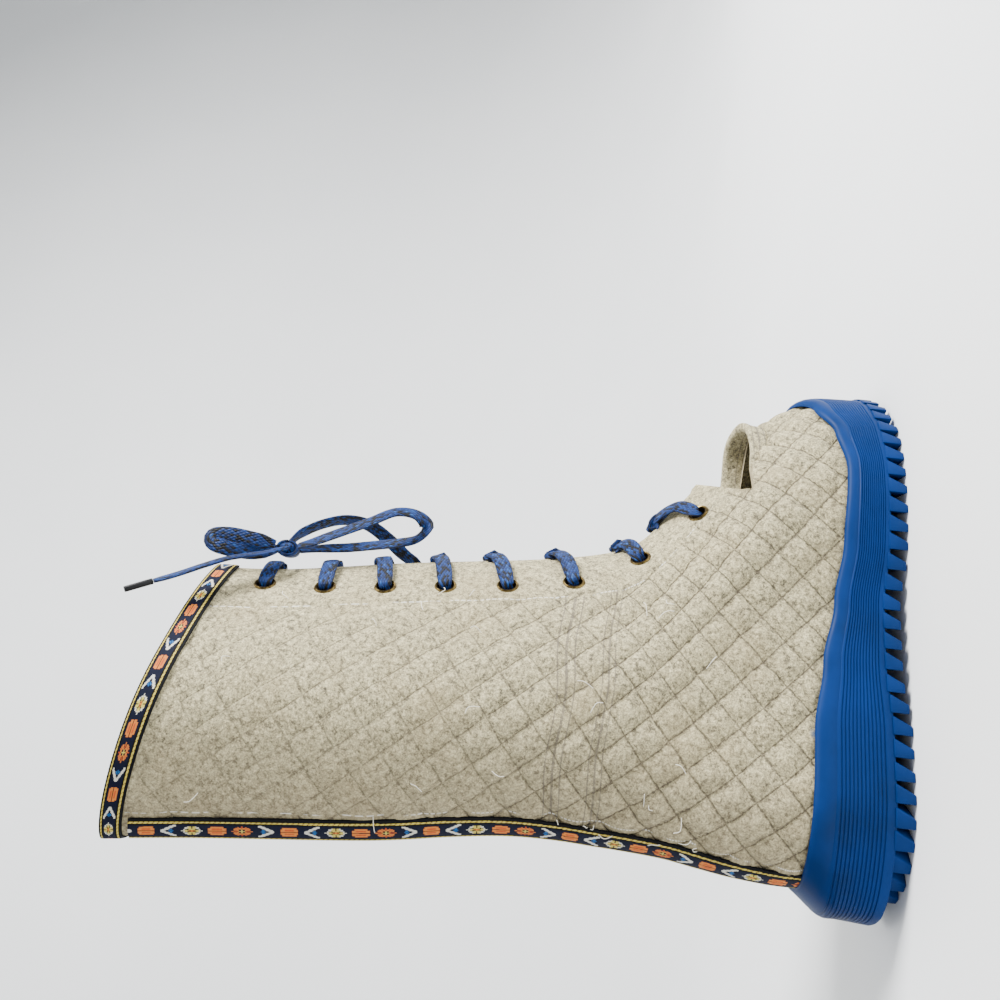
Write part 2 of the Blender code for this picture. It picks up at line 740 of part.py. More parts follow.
BOW = {
    "knot": (137.6, -3.0, 305.0),
    "loop_front": ((139.1, -5.5, 299.7), (142.0, -9.2, 289.5), (148.0, -11.2, 276.5), (155.0, -11.0, 264.0),
                   (162.5, -10.0, 252.0), (163.0, -8.5, 241.0), (158.0, -5.5, 235.0), (152.5, -1.0, 240.0),
                   (151.0, 4.0, 251.0), (149.5, 7.5, 264.0), (147.0, 8.3, 277.0), (143.8, 5.6, 289.5),
                   (139.1, 0.3, 300.1)),
    "loop_top": ((137.2, -8.25, 311.0), (137.8, -10.6, 321.0), (138.5, -12.0, 334.0), (137.0, -12.0, 342.5),
                 (133.0, -12.0, 342.0), (131.2, -11.3, 334.0), (132.2, -7.4, 323.0), (136.4, -2.9, 314.6),
                 (138.5, -0.65, 312.3)),
    "end_outer": ((135.9, -9.35, 304.7), (132.8, -13.4, 307.5), (128.8, -17.0, 312.5), (125.5, -19.5, 320.0),
                  (121.0, -23.5, 328.5), (114.0, -28.5, 337.5), (106.5, -33.0, 347.0), (100.5, -36.0, 356.5)),
    "aglet_outer": ((100.35, -36.08, 356.75), (93.4, -39.5, 367.8)),
    "end_inner": ((142.2, -1.5, 305.4), (149.0, 0.2, 301.0), (156.5, 2.0, 291.0), (162.0, 6.0, 280.0),
                  (163.0, 12.0, 269.0), (159.0, 18.5, 258.5), (153.0, 23.5, 249.0), (148.0, 27.0, 238.5)),
    "aglet_inner": ((147.9, 27.1, 238.2), (142.7, 30.7, 227.4)),
}
CORD_STEP = 8.0          # between two points of a free lace's solid
FREE_LACE = 4.6          # the solid's diameter; the braid is a flat oval of the same section


def smooth_route(points, step):
    """Evenly spaced points on a smooth curve through a route's own points."""
    ends = [Vector(point) for point in points]
    padded = [2.0 * ends[0] - ends[1]] + ends + [2.0 * ends[-1] - ends[-2]]
    dense = []
    for index in range(1, len(padded) - 2):
        for part in range(12):
            dense.append(Vector([catmull(*(padded[index + k][axis] for k in (-1, 0, 1, 2)), part / 12)
                                 for axis in range(3)]))
    dense.append(ends[-1])
    length = sum((b - a).length for a, b in zip(dense, dense[1:]))
    count = max(2, round(length / step))
    spaced, travelled, wanted = [dense[0]], 0.0, length / count
    for before, after in zip(dense, dense[1:]):
        span = (after - before).length
        while travelled + span >= wanted and len(spaced) < count:
            spaced.append(before.lerp(after, (wanted - travelled) / span))
            wanted += length / count
        travelled += span
    spaced.append(dense[-1])
    return spaced


def cord(name, route, diameter, boot, material):
    curve = bpy.data.curves.new(name, "CURVE")
    curve.dimensions = "3D"
    curve.bevel_depth = 0.5 * diameter * MM
    curve.bevel_resolution = 2
    curve.use_fill_caps = True
    spline = curve.splines.new("POLY")
    spline.points.add(len(route) - 1)
    for point, spot in zip(spline.points, route):
        point.co = (*(spot * MM), 1.0)
    curve.materials.append(material)
    thing = bpy.data.objects.new(name, curve)
    boot.objects.link(thing)
    return thing


def build_bow(boot, braid, tip):
    """The knot over the slit, two loops, two free ends and their aglets."""
    bpy.ops.mesh.primitive_uv_sphere_add(segments=12, ring_count=8, radius=1.0)
    knot = bpy.context.active_object
    knot.name = "lace_knot"
    knot.data.transform(Matrix.Translation(Vector(BOW["knot"]) * MM)
                        @ Matrix.Diagonal((3.6 * MM, 6.0 * MM, 5.6 * MM, 1.0)))
    knot.data.materials.append(braid)
    for holder in list(knot.users_collection):
        holder.objects.unlink(knot)
    boot.objects.link(knot)
    names = ["lace_knot"]
    for part in ("loop_front", "loop_top", "end_outer", "end_inner"):
        names.append("lace_" + part)
        cord(names[-1], smooth_route(BOW[part], CORD_STEP), FREE_LACE, boot, braid)
    for part in ("aglet_outer", "aglet_inner"):
        names.append("lace_" + part)
        cord(names[-1], [Vector(point) for point in BOW[part]], 3.0, boot, tip)
    return names


# Placing the boot in the library's frame

def stand_on_floor(boot, free_names):
    """Put the origin under the middle of the boot, on the floor."""
    bpy.context.view_layer.update()
    depsgraph = bpy.context.evaluated_depsgraph_get()
    low, high = Vector((1e9, 1e9, 1e9)), Vector((-1e9, -1e9, -1e9))
    for thing in boot.objects:
        if thing.name in free_names:
            continue
        mesh = thing.evaluated_get(depsgraph).to_mesh()
        for vertex in mesh.vertices:
            spot = thing.matrix_world @ vertex.co
            low = Vector(map(min, low, spot))
            high = Vector(map(max, high, spot))
        thing.evaluated_get(depsgraph).to_mesh_clear()
    shift = Vector((-(low.x + high.x) / 2.0, -(low.y + high.y) / 2.0, -low.z))
    for thing in boot.objects:
        thing.location = shift
    print("shift to the floor frame, millimetres:", [round(value / MM, 3) for value in shift])


def main():
    boot, cutters = empty_scene()
    felt = finish("grey_wool_felt", (0.50, 0.47, 0.41), 0.95)
    rubber = finish("blue_moulded_rubber", (0.01, 0.10, 0.32), 0.45)
    lining = finish("insole_felt", (0.42, 0.40, 0.36), 0.95)
    weave = finish("woven_ribbon", (0.02, 0.03, 0.07), 0.8)
    brass = finish("aged_brass", (0.25, 0.19, 0.09), 0.4, 1.0)
    braid = finish("blue_braided_lace", (0.01, 0.09, 0.33), 0.7)
    tip = finish("black_aglet_plastic", (0.02, 0.02, 0.02), 0.35)
    build_upper(boot, cutters, felt)
    build_cup(boot, cutters, rubber)
    build_insole(boot, lining)
    build_ribbons(boot, weave)
    build_eyelets(boot, brass)
    build_crossings(boot, braid)
    free_names = build_bow(boot, braid, tip)
    stand_on_floor(boot, free_names)


main()
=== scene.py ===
import bpy
import math
import random
from functools import partial
from mathutils import Matrix, Vector


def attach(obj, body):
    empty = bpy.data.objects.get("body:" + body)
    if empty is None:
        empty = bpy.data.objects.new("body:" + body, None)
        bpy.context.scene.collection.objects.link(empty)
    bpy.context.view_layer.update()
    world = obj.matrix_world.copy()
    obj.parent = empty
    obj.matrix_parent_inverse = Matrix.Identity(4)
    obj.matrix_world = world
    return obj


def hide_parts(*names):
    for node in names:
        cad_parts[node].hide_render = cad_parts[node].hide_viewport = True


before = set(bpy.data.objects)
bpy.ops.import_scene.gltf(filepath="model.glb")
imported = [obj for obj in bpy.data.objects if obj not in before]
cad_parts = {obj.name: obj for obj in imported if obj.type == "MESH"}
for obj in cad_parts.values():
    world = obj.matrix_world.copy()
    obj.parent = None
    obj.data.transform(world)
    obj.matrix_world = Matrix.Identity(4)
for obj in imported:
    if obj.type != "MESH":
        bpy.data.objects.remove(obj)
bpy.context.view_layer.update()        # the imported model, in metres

mm = 0.001
dice = random.Random(11)

# The boot is drawn in its own frame, in millimetres, and moved to the floor frame by this much.
bootShift = Vector((-125.045, -1.685, 0.0))


def toFloor(point):
    return (Vector(point) + bootShift) * mm


def pickOnly(*pieces):
    if bpy.context.object and bpy.context.object.mode != "OBJECT":
        bpy.ops.object.mode_set(mode="OBJECT")
    bpy.ops.object.select_all(action="DESELECT")
    for piece in pieces:
        piece.select_set(True)
    if pieces:
        bpy.context.view_layer.objects.active = pieces[0]


def applyModifiers(piece):
    pickOnly(piece)
    for modifier in list(piece.modifiers):
        bpy.ops.object.modifier_apply(modifier=modifier.name)


def settle(piece):
    pickOnly(piece)
    bpy.ops.object.transform_apply(location=True, rotation=True, scale=True)


def smoothShade(piece, degrees=50):
    pickOnly(piece)
    bpy.ops.object.shade_smooth_by_angle(angle=math.radians(degrees))


def editAll(piece, operator, **values):
    pickOnly(piece)
    bpy.ops.object.mode_set(mode="EDIT")
    bpy.ops.mesh.select_all(action="SELECT")
    operator(**values)
    bpy.ops.object.mode_set(mode="OBJECT")


def facesOutward(piece):
    editAll(piece, bpy.ops.mesh.remove_doubles, threshold=0.00001)
    editAll(piece, bpy.ops.mesh.normals_make_consistent, inside=False)


def joined(name, pieces):
    pickOnly(*pieces)
    bpy.ops.object.join()
    pieces[0].name = pieces[0].data.name = name
    return pieces[0]


def started(name, points=()):
    # the primitive just added, with its name and its vertices' places in metres
    piece = bpy.context.object
    piece.name = name
    for vertex, spot in zip(piece.data.vertices, points):
        vertex.co = spot
    if points:
        piece.location = (0, 0, 0)
    return piece


def fromPoints(name, points, faces):
    # for a form that no primitive gives: computed points, in millimetres
    mesh = bpy.data.meshes.new(name)
    mesh.from_pydata([toFloor(point) for point in points], [], faces)
    piece = bpy.data.objects.new(name, mesh)
    bpy.context.scene.collection.objects.link(piece)
    return piece


def loft(name, rings, caps):
    # a skin over closed rings of points; caps are its further faces
    sides, faces = len(rings[0]), []
    for base in range(0, (len(rings) - 1) * sides, sides):
        for side in range(sides):
            after = (side + 1) % sides
            faces.append((base + side, base + after, base + sides + after, base + sides + side))
    return fromPoints(name, [point for ring in rings for point in ring], faces + caps)


def pileUp(points):
    # running length along a line of points
    total = [0.0]
    for a, b in zip(points, points[1:]):
        total.append(total[-1] + (b - a).length)
    return total


def spacedOut(values, run, count):
    # values at even distances along a line, from its fine values and their running lengths
    spaced, k = [], 1
    for index in range(count + 1):
        wanted = run[-1] * index / count
        while k < len(run) - 1 and run[k] < wanted - 1e-9:
            k += 1
        share = (wanted - run[k - 1]) / (run[k] - run[k - 1])
        spaced.append(values[k - 1] + (values[k] - values[k - 1]) * share)
    return spaced


def dress(piece, material, slot, *nodes):
    piece.data.materials.clear()
    piece.data.materials.append(material)
    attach(piece, "root")
    if nodes:
        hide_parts(*nodes)


def linear(hexColour):
    parts = [int(hexColour[i:i + 2], 16) / 255 for i in (1, 3, 5)]
    return tuple(c / 12.92 if c <= 0.04045 else ((c + 0.055) / 1.055) ** 2.4 for c in parts) + (1.0,)


def feed(tree, node, values):
    # a value is a number, a colour, a socket or a node, which gives its first output in use
    for key, value in values.items() if isinstance(values, dict) else enumerate(values):
        if isinstance(value, bpy.types.Node):
            value = next(socket for socket in value.outputs if socket.enabled)
        if isinstance(value, bpy.types.NodeSocket):
            tree.links.new(value, node.inputs[key])
        else:
            node.inputs[key].default_value = value


def addNode(tree, kind, values=(), stops=(), **settings):
    node = tree.nodes.new("ShaderNode" + kind)
    for name, value in settings.items():
        setattr(node, name, value)
    feed(tree, node, values)
    if stops:
        elements = node.color_ramp.elements
        for stop in stops[2:]:
            elements.new(1.0)
        for element, (place, colour) in zip(elements, stops):
            element.position = place
            element.color = linear(colour)
    return node


def newMaterial(name, colour, roughness, specular=0.5):
    material = bpy.data.materials.new(name)
    material.use_nodes = True
    tree = material.node_tree
    finish = partial(feed, tree, tree.nodes["Principled BSDF"])
    finish({"Base Color": linear(colour), "Roughness": roughness, "Specular IOR Level": specular})
    return material, partial(addNode, tree), finish


# Phone camera close to the outer side, rolled so that the shaft points to the picture's left.
cameraSettings = {"place": (-53.0, -484.0, 170.0), "lift": 64.0, "roll": 7.1, "lens": 36.0}


def placeCamera():
    lift, roll = (math.radians(cameraSettings[key]) for key in ("lift", "roll"))
    alongBoot = Vector((math.cos(roll), 0, math.sin(roll)))
    toCamera = Vector((0, -1, 0))
    right = Vector((math.sin(roll), 0, -math.cos(roll)))
    ahead = math.cos(lift) * alongBoot - math.sin(lift) * toCamera
    up = math.sin(lift) * alongBoot + math.cos(lift) * toCamera
    data = bpy.data.cameras.new("photoCamera")
    data.lens = cameraSettings["lens"]
    data.sensor_width = 36.0
    data.sensor_fit = "HORIZONTAL"
    data.clip_start = 0.01
    camera = bpy.data.objects.new("photoCamera", data)
    bpy.context.scene.collection.objects.link(camera)
    turn = Matrix((right, up, -ahead)).transposed().to_4x4()
    camera.matrix_world = Matrix.Translation(toFloor(cameraSettings["place"])) @ turn
    bpy.context.scene.camera = camera
    print("camera placed")


placeCamera()


# lace: flat tubular braid
def braidedLaceMaterial():
    # Polyester braid: matt yarns in a herringbone, royal blue with black and pale flecks.
    material, node, finish = newMaterial("braidedPolyesterLace", "#1d4a96", 0.62, 0.25)
    split = node("SeparateXYZ", (node("UVMap", uv_map="lace"),))
    # u is millimetres along the lace over 3, the yarns' pitch; v is 8 yarns a side
    v = node("Math", (split.outputs[1], 16.0), operation="MULTIPLY")
    ridges, cells = [], []
    for operation in ("ADD", "SUBTRACT"):
        cross = node("Math", (split, v), operation=operation)
        ridges.append(node("Math", (cross, 0.5), operation="PINGPONG"))
        cells.append(node("Math", (cross,), operation="FLOOR"))
    yarn = node("Math", ridges, operation="MINIMUM")
    draw = node("TexWhiteNoise", {"Vector": node("CombineXYZ", cells)}, noise_dimensions="3D")
    tones = node("ValToRGB", (draw,), ((0.0, "#05070f"), (0.34, "#06204f"), (0.5, "#0a2f6c"), (0.8, "#0b3578"),
                                       (0.94, "#174b90")))
    tones.color_ramp.interpolation = "CONSTANT"
    shade = node("MapRange", (yarn, 0.0, 0.3, 0.45, 1.0))
    shaded = node("Mix", {0: 1.0, 6: tones, 7: node("CombineColor", [shade] * 3)},
                  data_type="RGBA", blend_type="MULTIPLY")
    finish({"Base Color": shaded, "Normal": node("Bump", {"Height": yarn, "Strength": 0.7, "Distance": 0.0012})})
    return material


def agletMaterial():
    # Crimped acetate tip: black, satin, slightly uneven.
    material, node, finish = newMaterial("blackAcetateAglet", "#08080a", 0.45, 0.25)
    noise = node("TexNoise", {"Vector": node("TexCoord").outputs["Object"], "Scale": 900.0, "Detail": 3.0})
    finish({"Normal": node("Bump", {"Height": noise, "Strength": 0.25, "Distance": 0.0003})})
    return material


laceMaterial = braidedLaceMaterial()
agletFinish = agletMaterial()


def catmull(a, b, c, d, t):
    return b + 0.5 * t * (c - a + t * (2 * a - 5 * b + 4 * c - d + t * (3 * (b - c) + d - a)))


def smoothRoute(points, step):
    ends = [Vector(point) for point in points]
    padded = [2 * ends[0] - ends[1]] + ends + [2 * ends[-1] - ends[-2]]
    dense = []
    for index in range(1, len(padded) - 2):
        for part in range(16):
            dense.append(Vector([catmull(*(padded[index + k][axis] for k in (-1, 0, 1, 2)), part / 16)
                                 for axis in range(3)]))
    dense.append(ends[-1])
    run = pileUp(dense)
    return spacedOut(dense, run, max(2, round(run[-1] / step)))


laceSizes = {"width": 8.0, "thick": 2.4, "sides": 20, "step": 1.2}


def sweepLace(name, route, normals, width, thick, closeEnds=True, startU=0.0):
    # squarish rings of points along the route; u runs along, v round the braid
    sides, last = laceSizes["sides"], len(route) - 1
    rings, across = [], None
    for index, spot in enumerate(route):
        ahead = (route[min(last, index + 1)] - route[max(0, index - 1)]).normalized()
        fresh = ahead.cross(normals[index] if isinstance(normals, list) else normals)
        across = fresh.normalized() if fresh.length > 0.05 or across is None else across
        up = across.cross(ahead).normalized()
        wide = width(index / last) if callable(width) else width
        rings.append([])
        for side in range(sides):
            angle = 2 * math.pi * side / sides
            squareness = 1.0 / (abs(math.cos(angle)) ** 3 + abs(math.sin(angle)) ** 3) ** (1 / 3)
            rings[-1].append(spot + across * (0.5 * wide * squareness * math.cos(angle))
                             + up * (0.5 * thick * squareness * math.sin(angle)))
    caps = [tuple(reversed(range(sides))), tuple(range(last * sides, last * sides + sides))]
    piece = loft(name, rings, caps if closeEnds else [])
    mesh = piece.data
    layer = mesh.uv_layers.new(name="lace")
    run = pileUp(route)
    for face in mesh.polygons:
        sideList = [mesh.loops[i].vertex_index % sides for i in face.loop_indices]
        wraps = max(sideList) - min(sideList) > sides / 2
        for loop, side in zip(face.loop_indices, sideList):
            ring = mesh.loops[loop].vertex_index // sides
            v = (side + (sides if wraps and side == 0 else 0)) / sides
            layer.data[loop].uv = ((startU + run[ring]) / 3.0, v)
    facesOutward(piece)
    smoothShade(piece, 70)
    return piece


# Routes of the bow, the same points as the source's cords.
bow = {
    "knot": (137.6, -3.0, 305.0),
    "loopFront": ((139.1, -5.5, 299.7), (142.0, -9.2, 289.5), (148.0, -11.2, 276.5), (155.0, -11.0, 264.0),
                  (162.5, -10.0, 252.0), (163.0, -8.5, 241.0), (158.0, -5.5, 235.0), (152.5, -1.0, 240.0),
                  (151.0, 4.0, 251.0), (149.5, 7.5, 264.0), (147.0, 8.3, 277.0), (143.8, 5.6, 289.5),
                  (139.1, 0.3, 300.1)),
    "loopTop": ((137.2, -8.25, 311.0), (137.8, -10.6, 321.0), (138.5, -12.0, 334.0), (137.0, -12.0, 342.5),
                (133.0, -12.0, 342.0), (131.2, -11.3, 334.0), (132.2, -7.4, 323.0), (136.4, -2.9, 314.6),
                (138.5, -0.65, 312.3)),
    "endOuter": ((135.9, -9.35, 304.7), (132.8, -13.4, 307.5), (128.8, -17.0, 312.5), (125.5, -19.5, 320.0),
                 (121.0, -23.5, 328.5), (114.0, -28.5, 337.5), (106.5, -33.0, 347.0), (100.5, -36.0, 356.5)),
    "agletOuter": ((100.35, -36.08, 356.75), (93.4, -39.5, 367.8)),
    "endInner": ((142.2, -1.5, 305.4), (149.0, 0.2, 301.0), (156.5, 2.0, 291.0), (162.0, 6.0, 280.0),
                 (163.0, 12.0, 269.0), (159.0, 18.5, 258.5), (153.0, 23.5, 249.0), (148.0, 27.0, 238.5)),
    "agletInner": ((147.9, 27.1, 238.2), (142.7, 30.7, 227.4)),
}


def buildAglet(name, points, node):
    a, b = (Vector(p) for p in points)
    bpy.ops.mesh.primitive_cylinder_add(vertices=24, radius=1.5 * mm, depth=(b - a).length * mm)
    piece = started(name)
    editAll(piece, bpy.ops.mesh.bevel, offset=0.35 * mm, segments=2)
    piece.rotation_euler = (b - a).to_track_quat("Z", "Y").to_euler()
    piece.location = toFloor((a + b) / 2)
    settle(piece)
    smoothShade(piece)
    dress(piece, agletFinish, "aglet", node)
    return piece


def buildKnot():
    # the lace wrapped once round its own strands
    centre, turns = Vector(bow["knot"]), []
    for index in range(33):
        angle = 2 * math.pi * index / 32
        turns.append(centre + Vector((3.0 * math.cos(angle), 0.9 * math.sin(angle * 0.5), 4.7 * math.sin(angle))))
    wrap = sweepLace("laceKnotWrap", turns, [(p - centre).normalized() for p in turns],
                     laceSizes["width"] * 1.25, 2.2, False)
    bpy.ops.mesh.primitive_uv_sphere_add(segments=24, ring_count=14, radius=1)
    core = started("laceKnot")
    core.scale = (3.3 * mm, 5.9 * mm, 5.0 * mm)
    core.location = toFloor(centre)
    settle(core)
    core.data.uv_layers[0].name = "lace"
    for loop in core.data.uv_layers[0].data:
        loop.uv = (loop.uv[0] * 12, loop.uv[1])
    smoothShade(core)
    joined("laceKnot", (core, wrap))
    dress(core, laceMaterial, "lace", "lace_knot")
    return core


def buildBow():
    width, thick = laceSizes["width"], laceSizes["thick"]
    aglets = {"endOuter": buildAglet("agletOuter", bow["agletOuter"], "lace_aglet_outer"),
              "endInner": buildAglet("agletInner", bow["agletInner"], "lace_aglet_inner"),
              "loopFront": buildKnot()}
    plan = (("loopFront", "lace_loop_front", Vector((0.45, -0.75, 0.2)), "knot"),
            ("loopTop", "lace_loop_top", Vector((-0.35, -0.9, -0.1)), "knot"),
            ("endOuter", "lace_end_outer", Vector((0.75, -0.6, 0.3)), "fitting"),
            ("endInner", "lace_end_inner", Vector((0.85, 0.15, 0.5)), "fitting"))
    for part, node, flatSide, farEnd in plan:
        route = smoothRoute(bow[part], laceSizes["step"])
        narrow = part.startswith("end")

        def wide(share, narrow=narrow):
            # pinched at the knot, and at the aglet on a free end
            pinch = min(1.0, share / 0.1) if narrow else min(1.0, share / 0.1, (1 - share) / 0.1)
            tip = min(1.0, (1 - share) / 0.06) if narrow else 1.0
            return width * (0.62 + 0.38 * pinch) * (0.5 + 0.5 * tip)

        piece = sweepLace("lace" + part[0].upper() + part[1:], route, flatSide.normalized(), wide, thick * 0.8)
        dress(piece, laceMaterial, "lace", node)
    print("bow tied")


buildBow()


# the boot's own surface: the upper's rings, as in the source
lastLength, ballWidth, feltThick, fitGap, toeSwing = 250.0, 89.0, 4.5, 0.4, 5.0
ringColumns = ("backX", "backZ", "frontX", "frontZ", "heel", "waist", "ball",
               "backRun", "frontRun", "backPow", "frontPow", "dip")
ringRows = (
    (-0.052, 361.0, 0.500, 340.0, 0.84, 0.88, 0.84, 60, 78, 0.72, 0.86, 4.0),    # collar
    (-0.030, 318.0, 0.513, 303.0, 0.84, 0.88, 0.84, 60, 78, 0.72, 0.86, 3.0),
    (0.004, 240.0, 0.554, 246.0, 0.85, 0.89, 0.85, 60, 80, 0.72, 0.86, 1.0),
    (0.030, 201.0, 0.578, 208.0, 0.86, 0.90, 0.86, 58, 82, 0.70, 0.86, 0.0),
    (0.044, 176.0, 0.600, 173.0, 0.87, 0.91, 0.86, 56, 84, 0.68, 0.86, 0.0),
    (0.048, 154.0, 0.628, 142.0, 0.86, 0.91, 0.84, 52, 88, 0.66, 0.87, 0.0),
    (0.046, 134.0, 0.662, 124.0, 0.82, 0.89, 0.83, 48, 94, 0.64, 0.88, 0.0),     # ankle
    (0.044, 118.0, 0.730, 110.0, 0.78, 0.85, 0.82, 45, 104, 0.62, 0.90, 0.0),
    (0.040, 102.0, 0.818, 95.0, 0.76, 0.81, 0.84, 43, 108, 0.60, 0.92, 0.0),
    (0.032, 88.0, 0.892, 83.0, 0.75, 0.79, 0.87, 42, 98, 0.58, 0.92, 0.0),
    (0.025, 75.0, 0.952, 71.0, 0.75, 0.78, 0.91, 41, 86, 0.56, 0.86, 0.0),
    (0.021, 63.0, 0.994, 60.0, 0.75, 0.78, 0.95, 40, 78, 0.54, 0.74, 0.0),
    (0.019, 52.0, 1.020, 49.0, 0.75, 0.78, 0.98, 40, 72, 0.52, 0.60, 0.0),
    (0.021, 40.0, 1.034, 37.0, 0.75, 0.78, 1.00, 40, 66, 0.50, 0.51, 0.0),
    (0.028, 24.4, 1.034, 16.4, 0.72, 0.76, 0.98, 38, 64, 0.50, 0.50, 0.0),       # foot bed
)
lastRow = len(ringRows) - 1


def smoothStep(value):
    value = min(1.0, max(0.0, value))
    return value * value * (3 - 2 * value)


ringCache = {}


def ringAt(level):
    key = round(level, 5)
    if key not in ringCache:
        level = min(float(lastRow), max(0.0, level))
        low = min(int(level), lastRow - 1)
        rows = [ringRows[min(lastRow, max(0, low + step))] for step in (-1, 0, 1, 2)]
        ringCache[key] = {name: catmull(*(row[index] for row in rows), level - low)
                          for index, name in enumerate(ringColumns)}
    return ringCache[key]


def roundedEnd(distance, run, power):
    rest = 1 - min(1.0, distance / run)
    return max(0.0, 1 - rest * rest) ** power


def swing(x, z):
    along = max(0.0, (x - 110) / 140)
    return toeSwing * along * along * (1 - smoothStep((z - 55) / 50))


def skin(level, around, inset=0.0):
    # around is 0 at the back seam and 1 or -1 at the front; negative is the outer side
    ring = ringAt(level)
    backX, backZ = ring["backX"] * lastLength, ring["backZ"]
    frontX, frontZ = ring["frontX"] * lastLength, ring["frontZ"]
    length = math.hypot(frontX - backX, frontZ - backZ)
    stepX, stepZ = (frontX - backX) / length, (frontZ - backZ) / length
    backIn = inset * (1 + 1.25 * (ring["backPow"] - 0.5))
    frontIn = inset * (1 + 1.25 * (ring["frontPow"] - 0.5))
    backX, backZ = backX + stepX * backIn, backZ + stepZ * backIn
    frontX, frontZ = frontX - stepX * frontIn, frontZ - stepZ * frontIn
    chord = length - backIn - frontIn
    t = 0.5 * (1 - math.cos(math.pi * abs(around)))
    x, z = backX + (frontX - backX) * t, backZ + (frontZ - backZ) * t
    if t < 0.45:
        width = ring["heel"] + (ring["waist"] - ring["heel"]) * smoothStep((t - 0.1) / 0.35)
    else:
        width = ring["waist"] + (ring["ball"] - ring["waist"]) * smoothStep((t - 0.45) / 0.27)
    width *= 0.5 * ballWidth * roundedEnd(t * chord, ring["backRun"], ring["backPow"])
    width *= roundedEnd((1 - t) * chord, ring["frontRun"], ring["frontPow"])
    width *= 1 - inset / (0.5 * ballWidth * max(ring["heel"], ring["waist"], ring["ball"]))
    if abs(around) < 1e-6 or abs(around) > 1 - 1e-6:
        width = 0.0
    side = 1 if around > 0 else -1
    return Vector((x, side * width + swing(x, z), z - ring["dip"] * 4 * t * (1 - t)))


def skinNormal(level, around):
    step = 0.012
    if abs(around) < step or abs(around) > 1 - step:
        edge = step if abs(around) < 0.5 else 1 - step
        return (skinNormal(level, edge) + skinNormal(level, -edge)).normalized()
    level = min(lastRow - 0.05, max(0.05, level))
    down = skin(level + 0.04, around) - skin(level - 0.04, around)
    along = skin(level, around + step / 2) - skin(level, around - step / 2)
    return along.cross(down).normalized()


# upper: quilted wool felt
upperSettings = {
    "columns": 250,          # round the boot
    "rows": 214,             # down the outer face; a torus takes 256 rings at the most
    "innerRows": 42,
    "cell": 15.3,            # side of a quilted diamond
    "puff": 3.1,             # depth of the quilting on the foot
    "facing": 40.0,          # plain strip beside the slit
    "ankleSeams": (4.50, 5.38),     # rings of the two seams at the facing; they drop towards the back
    "slit": 2.6,
    "backRibbon": 6.3,       # the back ribbon's middle lies this far to the outer side
    "throatX": 206.0,
    "throatZ": 65.0,
}


# the felt's UV layers: quilting in cells, distances from front and back, ring, distances from the ankle seams
feltLayers = ("quilt", "edges", "rings", "seams")
plainFelt = ((0.5, 0.5), (3.0, 3.0), (0.5, 1.0), (3.0, 3.0))


def freshLayers(mesh, names):
    while mesh.uv_layers:
        mesh.uv_layers.remove(mesh.uv_layers[0])
    for name in names:
        mesh.uv_layers.new(name=name)


def writeLayers(mesh, valuesAt):
    freshLayers(mesh, feltLayers)
    layers = list(mesh.uv_layers)
    for loop in mesh.loops:
        for layer, value in zip(layers, valuesAt(loop.vertex_index)):
            layer.data[loop.index].uv = value


